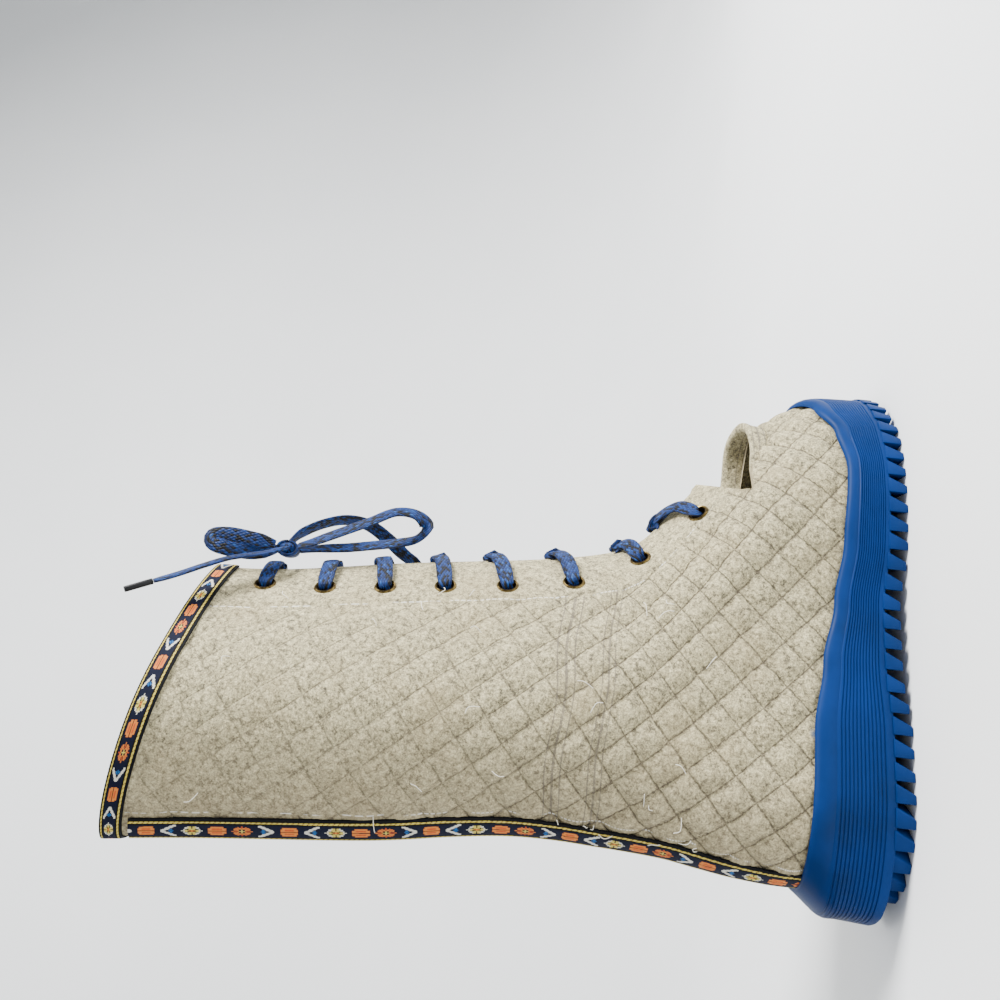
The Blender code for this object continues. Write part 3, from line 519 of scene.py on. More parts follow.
def buildUpper(material):
    s = upperSettings
    columns, rows, innerRows = s["columns"], s["rows"], s["innerRows"]
    # even spacing down the wall: rows follow the outer side's own length
    fine = [lastRow * k / 600 for k in range(601)]
    run = pileUp([skin(level, -0.4) for level in fine])
    levels = spacedOut(fine, run, rows - 1)
    arounds = [-1 + 2 * column / columns for column in range(columns)]
    outer = [[skin(level, around) for around in arounds] for level in levels]

    # lengths on the felt: down each column, and along each ring from the middle of its side
    down = [pileUp([outer[row][column] for row in range(rows)]) for column in range(columns)]
    half = columns // 2
    quarter = columns // 4
    quiltPlaces = []
    edgePlaces = []
    for row in range(rows):
        ring = outer[row] + [outer[row][0]]
        length = pileUp(ring)
        middles = (length[quarter], length[half + quarter])
        quiltPlaces.append([])
        edgePlaces.append([])
        for column in range(columns):
            side = 0 if column < half else 1
            along = (length[column] - middles[side]) * (-1 if side == 0 else 1)
            x = outer[row][quarter].x + along
            quiltPlaces[-1].append((x, -down[column][row]))
            fromFront = min(length[column], length[-1] - length[column])
            fromBack = abs(length[column] - length[half] + s["backRibbon"])    # from the back ribbon's middle
            edgePlaces[-1].append((fromFront, fromBack))

    def fromSeams(level, fromFront):
        return [(level - seam - 0.0021 * fromFront) * 21.0 + 0.8 * math.sin(fromFront * 0.11)
                for seam in s["ankleSeams"]]

    def relief(row, column):
        level = levels[row]
        x, w = quiltPlaces[row][column]
        fromFront, fromBack = edgePlaces[row][column]
        a = (x + w) / math.sqrt(2) / s["cell"]
        b = (x - w) / math.sqrt(2) / s["cell"]
        da, db = abs(a - round(a)) * s["cell"], abs(b - round(b)) * s["cell"]
        pillow = (math.sin(math.pi * min(0.5, da / s["cell"])) * math.sin(math.pi * min(0.5, db / s["cell"]))) ** 0.45
        depth = 0.32 + 0.68 * smoothStep((level - 1.2) / 4.5)
        height = s["puff"] * depth * (pillow - 0.75)
        if level < 9.6:
            height *= smoothStep((fromFront - s["facing"] + 3) / 6)
            height -= 0.5 * math.exp(-((fromFront - s["facing"]) / 1.2) ** 2)
        height -= 0.42 * math.exp(-(fromBack - 9.7) ** 2)
        for across in fromSeams(level, fromFront):
            if fromFront > s["facing"] + 3:
                height -= 0.9 * math.exp(-(across / 1.1) ** 2) + 0.35 * math.exp(-((abs(across) - 3.2) / 0.8) ** 2)
        # soft waves of a worn felt
        height += 0.5 * math.sin(x * 0.043 + 1.3) * math.sin(w * 0.037 + 0.4) * smoothStep(fromFront / 60)
        return height

    points = []
    for row in range(rows):
        for column in range(columns):
            before, after = outer[row][column - 1], outer[row][(column + 1) % columns]
            above, below = outer[max(0, row - 1)][column], outer[min(rows - 1, row + 1)][column]
            normal = (after - before).cross(below - above)
            normal = normal.normalized() if normal.length > 1e-9 else Vector((0, 0, 1))
            fade = smoothStep((down[column][row]) / 6)
            if outer[row][column].z < 30:
                fade *= 0.3
            points.append(toFloor(outer[row][column] + normal * relief(row, column) * fade))
    innerLevels = [levels[round((rows - 1) * k / (innerRows - 1))] for k in range(innerRows)]
    for level in reversed(innerLevels):
        points += [toFloor(skin(level, around, feltThick)) for around in arounds]

    # A torus primitive has the faces of a hollow wall: outside, foot edge, inside, collar edge.
    bpy.ops.mesh.primitive_torus_add(major_segments=rows + innerRows, minor_segments=columns,
                                     major_radius=1, minor_radius=0.3)
    upper = started("feltUpper", points)
    cell = s["cell"] * math.sqrt(2)

    def layerValues(vertex):
        row, column = divmod(vertex, columns)
        if row >= rows:
            return plainFelt
        x, w = quiltPlaces[row][column]
        fromFront, fromBack = edgePlaces[row][column]
        return (((x + w) / cell, (x - w) / cell), (fromFront / 100, fromBack / 100), (levels[row] / lastRow, 0.0),
                [distance / 100 for distance in fromSeams(levels[row], fromFront)])

    writeLayers(upper.data, layerValues)
    facesOutward(upper)
    cutUpper(upper)
    dress(upper, material, "felt", "upper")
    smoothShade(upper, 60)
    print("upper shaped,", len(upper.data.polygons), "faces")


# Eyelets of one facing: along the facing's edge, back from it along the chord, climb of the lace.
eyeletRows = (
    (31.0, 14.0, 0.00), (61.5, 18.0, 0.05), (91.0, 20.0, 0.20), (121.0, 21.0, 0.25),
    (153.0, 22.0, 0.35), (187.5, 22.0, 0.40), (223.0, 16.0, 0.50), (270.0, 27.0, 0.75),
)


def ringFront(level):
    ring = ringAt(level)
    return Vector((ring["frontX"] * lastLength, 0.0, ring["frontZ"]))


def eyeletPlaces():
    places = []
    travelled, level = 0.0, 0.0
    here = ringFront(0.0)
    while len(places) < len(eyeletRows):
        level += 0.01
        there = ringFront(level)
        travelled += (there - here).length
        here = there
        wanted, setback = eyeletRows[len(places)][:2]
        if travelled >= wanted:
            ring = ringAt(level)
            chord = (ring["frontX"] - ring["backX"]) * lastLength
            places.append((level, math.acos(2 * (setback / chord) - 1) / math.pi))
    return places


def onSkin(level, around):
    turn = skinNormal(level, around).to_track_quat("Z", "Y").to_matrix().to_4x4()
    return Matrix.Translation(toFloor(skin(level, around))) @ turn


def cutWith(piece, cutter):
    modifier = piece.modifiers.new("cut", "BOOLEAN")
    modifier.object = cutter
    modifier.operation = "DIFFERENCE"
    modifier.solver = "EXACT"
    applyModifiers(piece)
    bpy.data.objects.remove(cutter, do_unlink=True)


def prism(points, reach):
    # a cutter: a flat outline drawn out along one axis
    bpy.ops.mesh.primitive_circle_add(vertices=len(points), fill_type="NGON", radius=1)
    piece = started("cutter", [toFloor(point) for point in points])
    editAll(piece, bpy.ops.mesh.extrude_region_move, TRANSFORM_OT_translate={"value": reach})
    facesOutward(piece)
    return piece


def cutUpper(upper):
    s = upperSettings
    bpy.ops.mesh.primitive_cube_add(size=1)
    slit = started("slit")
    slit.scale = (175 * mm, s["slit"] * mm, 316 * mm)
    slit.location = toFloor((182.5, 0, 242))
    settle(slit)
    cutWith(upper, slit)

    # everything over the vamp in front of the facings, with their rounded corner
    radius, front, low, high = 9.0, s["throatX"], s["throatZ"], 130
    corner = ringFront(8.0).z
    outline = [(300, low), (300, high), (front - 2 * radius, high), (front - 2 * radius, corner + 9)]
    for step in range(13):
        angle = math.radians(90 - 7.5 * step)
        outline.append((front - radius + radius * math.cos(angle),
                        corner - 1.0 - radius * 0.6 + radius * math.sin(angle)))
    outline += [(front, low + 6), (front + 3, low + 1.5)]
    cutWith(upper, prism([(x, -80, z) for x, z in outline], (0, 160 * mm, 0)))

    # the facings end on a slant, from the slit back to their lower corners, so the rim's sides show
    plan = ((204.5, 1.5), (188, -30), (190, -33), (206, -37), (300, -80), (300, 84), (206, 41), (190, 37), (188, 34))
    cutWith(upper, prism([(x, y, 70.5) for x, y in plan], (0, 0, 60 * mm)))

    holes = []
    for level, around in eyeletPlaces():
        for side in (-1, 1):
            bpy.ops.mesh.primitive_cylinder_add(vertices=24, radius=4.2 * mm, depth=14 * mm)
            hole = started("hole")
            hole.data.transform(onSkin(level, side * around))
            holes.append(hole)
    cutWith(upper, joined("holes", holes))


def woolFeltMaterial():
    # Carded wool felt, quilted: matt, greige, heathered with darker fibres, soft fuzz at grazing angles.
    material, node, finish = newMaterial("quiltedWoolFelt", "#bdb7aa", 0.93, 0.2)
    finish({"Sheen Weight": 0.06, "Sheen Roughness": 0.95})
    here = node("TexCoord").outputs["Object"]
    quilt, edges, rings, seams = (node("SeparateXYZ", (node("UVMap", uv_map=name),)).outputs for name in feltLayers)
    # heather clumps of 2 to 4 mm, stains of 30 mm, a slow wobble for the seams
    clumps, stains, wobble, warp = (
        node("TexNoise", {"Vector": here, "Scale": scale, "Detail": detail, "Roughness": rough, "Distortion": bend})
        for scale, detail, rough, bend in ((400.0, 8.0, 0.82, 0.25), (26.0, 4.0, 0.5, 0.0), (90.0, 2.0, 0.5, 0.0),
                                           (160.0, 2.0, 0.5, 0.0)))
    bent = node("MixRGB", (0.002, here, warp.outputs["Color"]), blend_type="ADD")
    # fibres about 0.5 mm, drawn as streaky noise
    fibres = node("TexNoise", {"Vector": bent, "Scale": 1200.0, "Detail": 4.0, "Roughness": 0.7, "Distortion": 0.4})
    heather = node("ValToRGB", (clumps,), ((0.40, "#5a5240"), (0.48, "#a39975"), (0.59, "#cabf97")))
    fine = node("MapRange", (fibres, 0.36, 0.64, 0.45, 1.36))
    felt = node("Mix", {0: 1.0, 6: heather, 7: node("CombineColor", [fine] * 3)},
                data_type="RGBA", blend_type="MULTIPLY")

    # where each effect lies; the quilting is faint up the shaft and stops at the facing; the felt is given painted
    # shade towards the back ribbon, and patches for the painted shade of the quilt lines and creases
    strength, facing, vamp, outside, wearAndShadePatches, shaftOnly, broken, dirt, paintedBackShade, shift = (
        node("MapRange", span) for span in (
            (rings[0], 0.05, 0.42, 0.4, 1.0), (edges[0], 0.39, 0.41, 0.0, 1.0), (rings[0], 0.67, 0.70, 0.0, 1.0),
            (rings[1], 0.3, 0.5, 1.0, 0.0), (clumps, 0.4, 0.6, 1.0, 0.55), (rings[0], 0.58, 0.62, 1.0, 0.0),
            (wobble, 0.46, 0.54, 0.0, 1.0), (stains, 0.5, 0.8, 0.0, 0.45), (edges[1], 0.08, 0.6, 0.4, 0.0),
            (wobble, 0.0, 1.0, -0.08, 0.08)))
    lines = []
    for axis in (0, 1):
        # distance to the nearest line of this diagonal; stitches about 3 mm long with short gaps
        moved = node("Math", (quilt[axis], shift), operation="ADD")
        near = node("Math", (moved, 0.5), operation="PINGPONG")
        dash = node("Math", (quilt[1 - axis], 5.5), operation="MULTIPLY")
        gap = node("Math", (dash, 0.5), operation="PINGPONG")
        parts = [node("MapRange", span) for span in ((near, 0.01, 0.04, 1.0, 0.0), (gap, 0.08, 0.16, 0.6, 1.0))]
        lines.append(node("Math", parts, operation="MULTIPLY"))
    masked = node("Math", lines, operation="MAXIMUM")
    for factor in (node("Math", (facing, vamp), operation="MAXIMUM"), strength, outside):
        masked = node("Math", (masked, factor), operation="MULTIPLY")

    def lineAt(distance, place, halfWidth):
        off = node("Math", (distance, place), operation="SUBTRACT")
        size = node("Math", (off,), operation="ABSOLUTE")
        return node("MapRange", (size, halfWidth * 0.6, halfWidth, 1.0, 0.0))

    # pale topstitch on the facing's line and beside the back ribbon
    facingThread = node("Math", (lineAt(edges[0], 0.40, 0.0045), shaftOnly), operation="MULTIPLY")
    threads = node("Math", (facingThread, lineAt(edges[1], 0.097, 0.004)), operation="MAXIMUM")
    beads = node("Math", (rings[0], 160.0), operation="MULTIPLY")
    beads = node("MapRange", (node("Math", (beads, 0.5), operation="PINGPONG"), 0.12, 0.2, 0.0, 1.0))
    for factor in (beads, broken, 0.8):
        threads = node("Math", (threads, factor), operation="MULTIPLY")
    # each ankle seam is a crease between two rows of stitches; the crease and the grooves of the stitch rows are
    # darkened as painted shade
    creaseShade = 0.0
    for axis in (0, 1):
        for place, halfWidth in ((0.0, 0.0065), (-0.032, 0.0035), (0.032, 0.0035)):
            creaseShade = node("Math", (creaseShade, lineAt(seams[axis], place, halfWidth)), operation="MAXIMUM")
    for factor in (facing, wearAndShadePatches):
        creaseShade = node("Math", (creaseShade, factor), operation="MULTIPLY")
    # painted shade: the quilt lines are darkened as the shade in their puckered grooves, in patches
    layers = [(dirt, "#96865f"), (paintedBackShade, "#8d7d60"), (node("Math", (masked, wearAndShadePatches), operation="MULTIPLY"), "#554b3a"),
              (creaseShade, "#6a6152"), (threads, "#e9e6da")]
    # two rubbed blue marks: by the rubber's edge, and inside the throat rim
    for spot, size in (((67, -34, 43), 3.2 * mm), ((222, 17, 73), 6.5 * mm)):
        away = node("VectorMath", (bent, toFloor(spot)), operation="DISTANCE")
        layers.append((node("MapRange", (away, size * 0.3, size, 0.75, 0.0)), "#4a6283"))
    for amount, colour in layers:
        felt = node("Mix", {0: amount, 6: felt, 7: linear(colour)}, data_type="RGBA")

    height = 0.0
    for source, share in ((masked, -0.7), (fibres, 0.35), (clumps, 0.7)):
        height = node("Math", (source, share, height), operation="MULTIPLY_ADD")
    finish({"Base Color": felt, "Normal": node("Bump", {"Height": height, "Strength": 0.75, "Distance": 0.0011})})
    return material


feltMaterial = woolFeltMaterial()
buildUpper(feltMaterial)

# throat rim: a doubled felt edge that stands on the vamp
rimSettings = {"thick": 5.4, "foot": 60.5, "top": 75.6, "bendX": 209.0, "long": 31.0, "wide": 24.0, "rear": 18.0}


def buildRim(material):
    s = rimSettings
    stations, sides, bend, rings = 110, 20, 0.72, []
    for index in range(stations):
        swept = 2 * index / (stations - 1) - 1
        side = 1 if swept > 0 else -1
        if abs(swept) <= bend:
            angle = 0.5 * math.pi * swept / bend
            spot = Vector((s["bendX"] + s["long"] * math.cos(angle), s["wide"] * math.sin(angle), 0))
            outward = Vector((math.cos(angle) / s["long"], math.sin(angle) / s["wide"], 0)).normalized()
        else:
            rear = s["rear"] * (abs(swept) - bend) / (1 - bend)
            spot = Vector((s["bendX"] - rear, side * (s["wide"] + 0.1 * rear), 0))
            outward = Vector((0, side, 0))
        spot.y += swing(spot.x, 67.0)
        # the outer side of the rim is pressed down and out, the inner side stands
        top = s["top"] - 3.0 * smoothStep((abs(swept) - 0.75) / 0.25) + 0.4 * math.sin(index * 0.21)
        top += 1.5 * smoothStep(0.5 + swept) - 4.5 * smoothStep((0.1 - swept) / 0.5)
        flare = 0.4 * math.sin(index * 0.17 + 1.0) + 1.8 * smoothStep((0.1 - swept) / 0.5)
        rings.append([])
        for step in range(sides):
            angle = 2 * math.pi * step / sides
            round4 = 1 / (math.cos(angle) ** 4 + math.sin(angle) ** 4) ** 0.25
            across = 0.5 * s["thick"] * round4 * math.cos(angle)
            height = 0.5 * (s["foot"] + top) + 0.5 * (top - s["foot"]) * round4 * math.sin(angle)
            lean = (0.7 + flare) * smoothStep((height - 66) / 9)
            rings[-1].append(spot + outward * (across + lean) + Vector((0, 0, height)))
    last = (stations - 1) * sides
    rim = loft("throatRim", rings, [tuple(range(sides)), tuple(range(last, last + sides))])
    # its seams layer draws the seam that joins it to the vamp, as painted shade along its crease and stitch grooves
    vertices = rim.data.vertices
    writeLayers(rim.data, lambda vertex: plainFelt[:3] + (((vertices[vertex].co.z / mm - 66.0) / 100, 3.0),))
    facesOutward(rim)
    smoothShade(rim, 60)
    dress(rim, material, "felt")
    print("throat rim shaped")


buildRim(feltMaterial)

# rubber cup sole
soleColumns = {"edge": 1, "foot": 2, "tread": 3}
soleRows = (
    (-10.0, 39.5, 8.0, 1.5), (15.0, 43.5, 7.6, 0.0), (70.0, 42.5, 7.6, 0.0), (100.0, 38.5, 10.2, 3.4),
    (130.0, 33.0, 10.2, 3.4), (160.0, 29.0, 7.8, 0.0), (200.0, 27.0, 7.6, 0.0), (222.0, 31.0, 8.2, 0.0),
    (240.0, 38.0, 9.4, 1.6), (262.0, 46.0, 11.5, 5.0),
)
cupSettings = {"topWall": 3.6, "footWall": 5.6, "ribs": 12, "ribDepth": 0.45, "ribsFrom": 0.13, "ribsTo": 0.72,
               "spur": 9.0, "lugPitch": 9.8, "lugReach": 15.0, "columns": 200}


def soleAt(x, column):
    index = soleColumns[column]
    if x <= soleRows[0][0]:
        return soleRows[0][index]
    for low, high in zip(soleRows, soleRows[1:]):
        if x <= high[0]:
            return low[index] + (high[index] - low[index]) * smoothStep((x - low[0]) / (high[0] - low[0]))
    return soleRows[-1][index]


def footOutline(around):
    spot = skin(lastRow, around)
    if abs(around) < 0.001:
        return spot, Vector((-1, 0, 0))
    if abs(around) > 0.999:
        return spot, Vector((1, 0, 0))
    along = skin(lastRow, around + 0.01) - skin(lastRow, around - 0.01)
    return spot, Vector((-along.y, along.x, 0)).normalized()


def columnOf(around):
    return [skin(11 + 3 * k / 24, around) for k in range(25)]


def cupPoint(around, column, height, offset):
    spot, outward = footOutline(around)
    if height > spot.z:
        for above, below in zip(column, column[1:]):
            if below.z <= height:
                spot = below.lerp(above, min(1, (height - below.z) / (above.z - below.z)))
                break
    return Vector((spot.x, spot.y, height)) + outward * offset


def heelSpur(around, share):
    behind = 1 - smoothStep((abs(around) - 0.05) / 0.17)
    # the ledge's upper facet starts sharply under the smooth margin
    rise = smoothStep((1 - share) / 0.42)
    return Vector((-cupSettings["spur"] * behind * rise, 0, 0))


def buildCup(material):
    s = cupSettings
    count = s["columns"]
    arounds = [-1 + 2 * column / count for column in range(count)]
    profile = [(0.0, -1.6), (0.015, -0.5), (0.05, 0.0), (s["ribsFrom"], 0.0)]
    width = (s["ribsTo"] - s["ribsFrom"]) / s["ribs"]
    for rib in range(s["ribs"]):
        start = s["ribsFrom"] + width * rib
        profile += [(start + 0.12 * width, -s["ribDepth"]), (start + 0.32 * width, -s["ribDepth"]),
                    (start + 0.5 * width, 0.0), (start + 0.98 * width, 0.0)]
    profile += [(s["ribsTo"] + 0.02, -0.3), (s["ribsTo"] + 0.05, -0.05), (0.85, -0.1), (0.93, -0.5), (0.975, -1.1),
                (0.993, -1.7), (1.0, -2.3)]
    outline = [footOutline(around) for around in arounds]
    columnPoints = [columnOf(around) for around in arounds]
    rows = []
    for share, relief in profile:
        row = []
        for around, (spot, outward), column in zip(arounds, outline, columnPoints):
            foot, edge = soleAt(spot.x, "foot"), soleAt(spot.x, "edge")
            wall = s["footWall"] + (s["topWall"] - s["footWall"]) * share
            point = cupPoint(around, column, foot + (edge - foot) * share, fitGap + wall + relief)
            row.append(point + heelSpur(around, share))
        rows.append(row)
    for step, share in enumerate((1.0, 0.97, 0.8, 0.5, 0.2, 0.0)):
        row = []
        for around, (spot, outward), column in zip(arounds, outline, columnPoints):
            edge, seat = soleAt(spot.x, "edge"), spot.z - fitGap
            gap = fitGap + (0.7 if step == 0 else 0.3)
            row.append(cupPoint(around, column, seat + (edge - seat) * share, gap))
        rows.append(row)
    # the two ends are closed by bands across the boot
    caps, half = [], count // 2
    for base in (0, (len(rows) - 1) * count):
        for index in range(half):
            corners = (half + index, (half + index + 1) % count, (half - index - 1) % count, (half - index) % count)
            caps.append(tuple(base + corner for corner in dict.fromkeys(corners)))
    cup = loft("rubberCup", rows, caps)
    facesOutward(cup)
    smoothShade(cup, 32)
    dress(cup, material, "rubber", "cup_sole")
    print("cup shaped,", len(cup.data.polygons), "faces")


def wedge(points, faces, middle, along, inward, length, reach, top, tread, rake):
    start = len(points)
    for depth in (0.0, reach):
        for place, height in ((-0.5, top), (0.5, top), (0.5 - rake, tread), (-0.5, tread)):
            spot = middle + along * (length * place) + inward * depth
            points.append((spot.x, spot.y, height))
    for face in ((0, 1, 2, 3), (7, 6, 5, 4), (0, 4, 5, 1), (1, 5, 6, 2), (2, 6, 7, 3), (3, 7, 4, 0)):
        faces.append(tuple(start + corner for corner in face))


def buildLugs(material):
    s = cupSettings
    points, faces, samples = [], [], 400
    for side in (-1, 1):
        outline = []
        for index in range(samples + 1):
            spot, outward = footOutline(side * (0.055 + 0.915 * index / samples))
            outline.append((spot + outward * (fitGap + s["footWall"] - 1), outward))
        travelled, wanted = 0.0, 0.0
        for index in range(1, samples + 1):
            spot, outward = outline[index]
            step = spot - outline[index - 1][0]
            travelled += step.length
            if travelled < wanted:
                continue
            wanted += s["lugPitch"]
            along = step.normalized()
            foot, tread = soleAt(spot.x, "foot"), soleAt(spot.x, "tread")
            inward = (-outward * 0.94 + along * 0.34).normalized()
            reach = s["lugReach"] if 20 < spot.x < 230 else s["lugReach"] * 0.7
            middle = Vector((spot.x, spot.y, 0)) + outward * 1.6
            wedge(points, faces, middle, along, inward, s["lugPitch"] * 0.86, reach, foot + 1.2, tread, 0.5)
    # cross bars, then the two flat pads
    bars = ((24, 6.4, 10, 0.3), (82, 6.4, 11, 0.3), (152, 6.4, 19, 0.3), (166, 6.4, 22, 0.3), (208, 6.4, 20, 0.3),
            (222, 6.4, 15, 0.3), (53, 34, 14, 0.08), (187, 22, 21, 0.08))
    for x, length, half, rake in bars:
        tread = soleAt(x, "tread") if length < 10 else 0.0
        wedge(points, faces, Vector((x, swing(x, 0) - half, 0)), Vector((1, 0, 0)), Vector((0, 1, 0)),
              length, 2 * half, soleAt(x, "foot") + 1.6, tread, rake)
    lugs = fromPoints("soleLugs", points, faces)
    facesOutward(lugs)
    soften = lugs.modifiers.new("soften", "BEVEL")
    soften.width = 0.6 * mm
    soften.segments = 2
    applyModifiers(lugs)
    smoothShade(lugs, 40)
    dress(lugs, material, "rubber")
    print("lugs shaped")


def mouldedRubberMaterial():
    # Moulded rubber: satin, saturated blue, with a fine grain and pale scuffs.
    material, node, finish = newMaterial("mouldedBlueRubber", "#023a7a", 0.5, 0.1)
    here = node("TexCoord").outputs["Object"]
    tone = node("TexNoise", {"Vector": here, "Scale": 35.0, "Detail": 3.0})
    blues = node("ValToRGB", (tone,), ((0.3, "#01224f"), (0.75, "#012d69")))
    scuff = node("TexNoise", {"Vector": here, "Scale": 420.0, "Detail": 6.0, "Roughness": 0.8})
    scuffs = node("MapRange", (scuff, 0.66, 0.76, 0.0, 0.35))
    wearAndShadePatches = node("Mix", {0: scuffs, 6: blues, 7: linear("#24588f")}, data_type="RGBA")
    grain = node("TexNoise", {"Vector": here, "Scale": 2200.0, "Detail": 2.0})
    finish({"Base Color": wearAndShadePatches, "Roughness": node("MapRange", (tone, 0.3, 0.7, 0.42, 0.6)),
            "Normal": node("Bump", {"Height": grain, "Strength": 0.15, "Distance": 0.0003})})
    return material


rubberMaterial = mouldedRubberMaterial()
buildCup(rubberMaterial)
buildLugs(rubberMaterial)

# woven ribbons: each cell of the mesh is one woven point
ribbonSettings = {"width": 15.0, "thick": 1.0, "across": 29, "pitch": 0.56, "seamTurn": upperSettings["backRibbon"]}
yarnColours = {
    "k": "#06070b", "n": "#0a1028", "y": "#dcc75c", "w": "#e6e2d4", "o": "#e28438", "r": "#cf5a2c", "b": "#2a6db0",
    "t": "#7d5a2e",
}
# left half and middle of the 15 points across the navy field; each motif is read along the ribbon
motifs = {
    "halfCross": ("ww......", "www....b", ".www.bb.", "..www..b", "...www..", "....www.", ".....www",
                  "......ww"),
    "blocks": ("....ooo.", "..ooooo.", "..oorro.", "..oorro.", "..oorro.", "..oorro.", "..oorro.", "..ooooo.",
               "....ooo."),
    "paleFlower": (".......w", ".....wwy", "...ww.yy", "..wyy..y", "..yyyy.o", ".....yoo", "..yyyy.o",
                   "..wyy..y", "...ww.yy", ".....wwy", ".......w"),
    "redFlower": (".......o", "....oo.r", "...oro.r", "..orroo.", "...oo..y", ".rrr.yyy", "...oo..y",
                  "..orroo.", "...oro.r", "....oo.r", ".......o"),
    "space": ("........", "........", "........"),
}
ribbonRepeat = ("halfCross", "space", "blocks", "space", "halfCrossBack", "space", "paleFlower", "space",
                "blocks", "space", "redFlower", "space")


def ribbonChart():
    rows = []
    for name in ribbonRepeat:
        motif = motifs[name.replace("Back", "")]
        rows += reversed(motif) if name.endswith("Back") else motif
    return [(row + row[6::-1]).replace(".", "n") for row in rows]


def ribbonColour(chart, along, across):
    # 29 points: black edge, yellow line, black, 15 of the field, and the same again
    if across < 3 or across > 25:
        return "k"
    if across in (3, 4, 24, 25):
        return "y" if (along + across) % 4 else "t"
    if across in (5, 6, 22, 23):
        return "k"
    # one charted row lasts one and a half woven points, which gives a repeat of 62 mm
    return chart[int(along / 1.5) % len(chart)][across - 7]


def wovenRibbonMaterial():
    # Polyester jacquard ribbon: slightly lustrous yarns, each woven point a small bead.
    material, node, finish = newMaterial("wovenRibbon", "#0a1026", 0.7, 0.12)
    split = node("SeparateXYZ", (node("UVMap", uv_map="weavePoints"),))
    beads = []
    for axis in (0, 1):
        turn = node("Math", (split.outputs[axis], 0.5), operation="ADD")
        beads.append(node("Math", (turn, 0.5), operation="PINGPONG"))
    bead = node("Math", beads, operation="MULTIPLY")
    # painted shade between the woven points, and a faint painted highlight on their crowns
    shade = node("MapRange", (bead, 0.0, 0.14, 0.6, 1.08))
    shaded = node("Mix", {0: 1.0, 6: node("VertexColor", layer_name="weave"), 7: node("CombineColor", [shade] * 3)},
                  data_type="RGBA", blend_type="MULTIPLY")
    finish({"Base Color": shaded, "Normal": node("Bump", {"Height": bead, "Strength": 0.6, "Distance": 0.0006})})
    return material


def weaveRibbon(name, lines, lifts, material, node, firstRow=0):
    # lines: for each woven point along the ribbon, its points across on the skin with their normals
    across = len(lines[0])
    bpy.ops.mesh.primitive_grid_add(x_subdivisions=across - 1, y_subdivisions=len(lines) - 1, size=1)
    points = []
    for line in lines:
        for column, (spot, normal) in enumerate(line):
            crown = 0.25 * smoothStep(min(column, across - 1 - column) / 4)
            points.append(toFloor(spot + normal * (fitGap + 0.2 + lifts + crown)))
    piece = started(name, points)
    mesh = piece.data
    chart = ribbonChart()
    freshLayers(mesh, ["weavePoints"])
    mesh.color_attributes.new(name="weave", type="BYTE_COLOR", domain="CORNER")
    layer, weave = mesh.uv_layers["weavePoints"], mesh.color_attributes["weave"]
    for face in mesh.polygons:
        places = [divmod(mesh.loops[i].vertex_index, across) for i in face.loop_indices]
        along, column = min(p[0] for p in places), min(p[1] for p in places)
        colour = linear(yarnColours[ribbonColour(chart, along + firstRow, column)])
        for loop, (row, side) in zip(face.loop_indices, places):
            layer.data[loop].uv = (side, row)
            weave.data[loop].color = colour
    thick = piece.modifiers.new("thickness", "SOLIDIFY")
    thick.thickness = ribbonSettings["thick"] * mm
    thick.offset = -1.0
    middle = mesh.polygons[len(mesh.polygons) // 2]
    row, column = divmod(middle.vertices[0], across)
    if middle.normal.dot(lines[row][column][1]) < 0:
        editAll(piece, bpy.ops.mesh.flip_normals)
    applyModifiers(piece)
    smoothShade(piece, 60)
    dress(piece, material, "ribbon", node)
    print(name, "woven,", len(lines), "points long")


def placesAtDistances(level, wantedList):
    # columns at signed distances from the back seam, along one ring
    found = []
    for sign in (-1, 1):
        wanted = sorted(abs(w) for w in wantedList if (w < 0) == (sign < 0))
        travelled, around = 0.0, 0.0
        here = skin(level, 0.0)
        for target in wanted:
            while travelled < target:
                around += 0.002
                there = skin(level, sign * around)
                travelled += (there - here).length
                here = there
            found.append(sign * around)
    return sorted(found)


def buildRibbons():
    s = ribbonSettings
    material = wovenRibbonMaterial()
    across = s["across"]
    # collar: round the boot from one side of the slit to the other
    fine = [-0.958 + 1.916 * k / 1200 for k in range(1201)]
    middleLevel = 0.5 * s["width"] / 40.0
    run = pileUp([skin(middleLevel, around) for around in fine])
    lines = []
    for around in spacedOut(fine, run, int(run[-1] / s["pitch"])):
        top, low = skin(0.0, around), skin(1.0, around)
        reach = (low - top).length
        line = []
        for column in range(across + 1):
            level = (0.2 + (s["width"] - 0.2) * column / across) / reach
            line.append((skin(level, around), skinNormal(max(0.06, level), around)))
        lines.append(line)
    weaveRibbon("collarRibbon", lines, 0.6, material, "collar_ribbon")

    # back seam: from under the collar ribbon down to the rubber
    lines = []
    level = 0.42
    here = skin(level, 0.0)
    while here.z >= soleAt(0.0, "edge") + 1.5:
        wantedList = [(column / across - 0.5) * s["width"] - s["seamTurn"] for column in range(across + 1)]
        lines.append([(skin(level, around), skinNormal(level, around))
                      for around in placesAtDistances(level, wantedList)])
        target = here
        while (skin(level, 0.0) - target).length < s["pitch"]:
            level += 0.001
        here = skin(level, 0.0)
    weaveRibbon("backRibbon", lines, 0.55, material, "back_ribbon", 9)


buildRibbons()

# eyelets: rolled brass, aged
eyeletSettings = {"hole": 3.9, "flange": 5.7, "crown": 0.8, "barrel": 4.6}


def agedBrassMaterial():
    # Antique-plated brass: dull olive-gold metal, darker where it is handled less.
    material, node, finish = newMaterial("antiqueBrass", "#7f6a3a", 0.38)
    age = node("TexNoise", {"Vector": node("TexCoord").outputs["Object"], "Scale": 600.0, "Detail": 4.0})
    finish({"Metallic": 1.0, "Base Color": node("ValToRGB", (age,), ((0.35, "#33291a"), (0.65, "#75633a"))),
            "Roughness": node("MapRange", (age, 0.3, 0.7, 0.5, 0.3))})
    return material


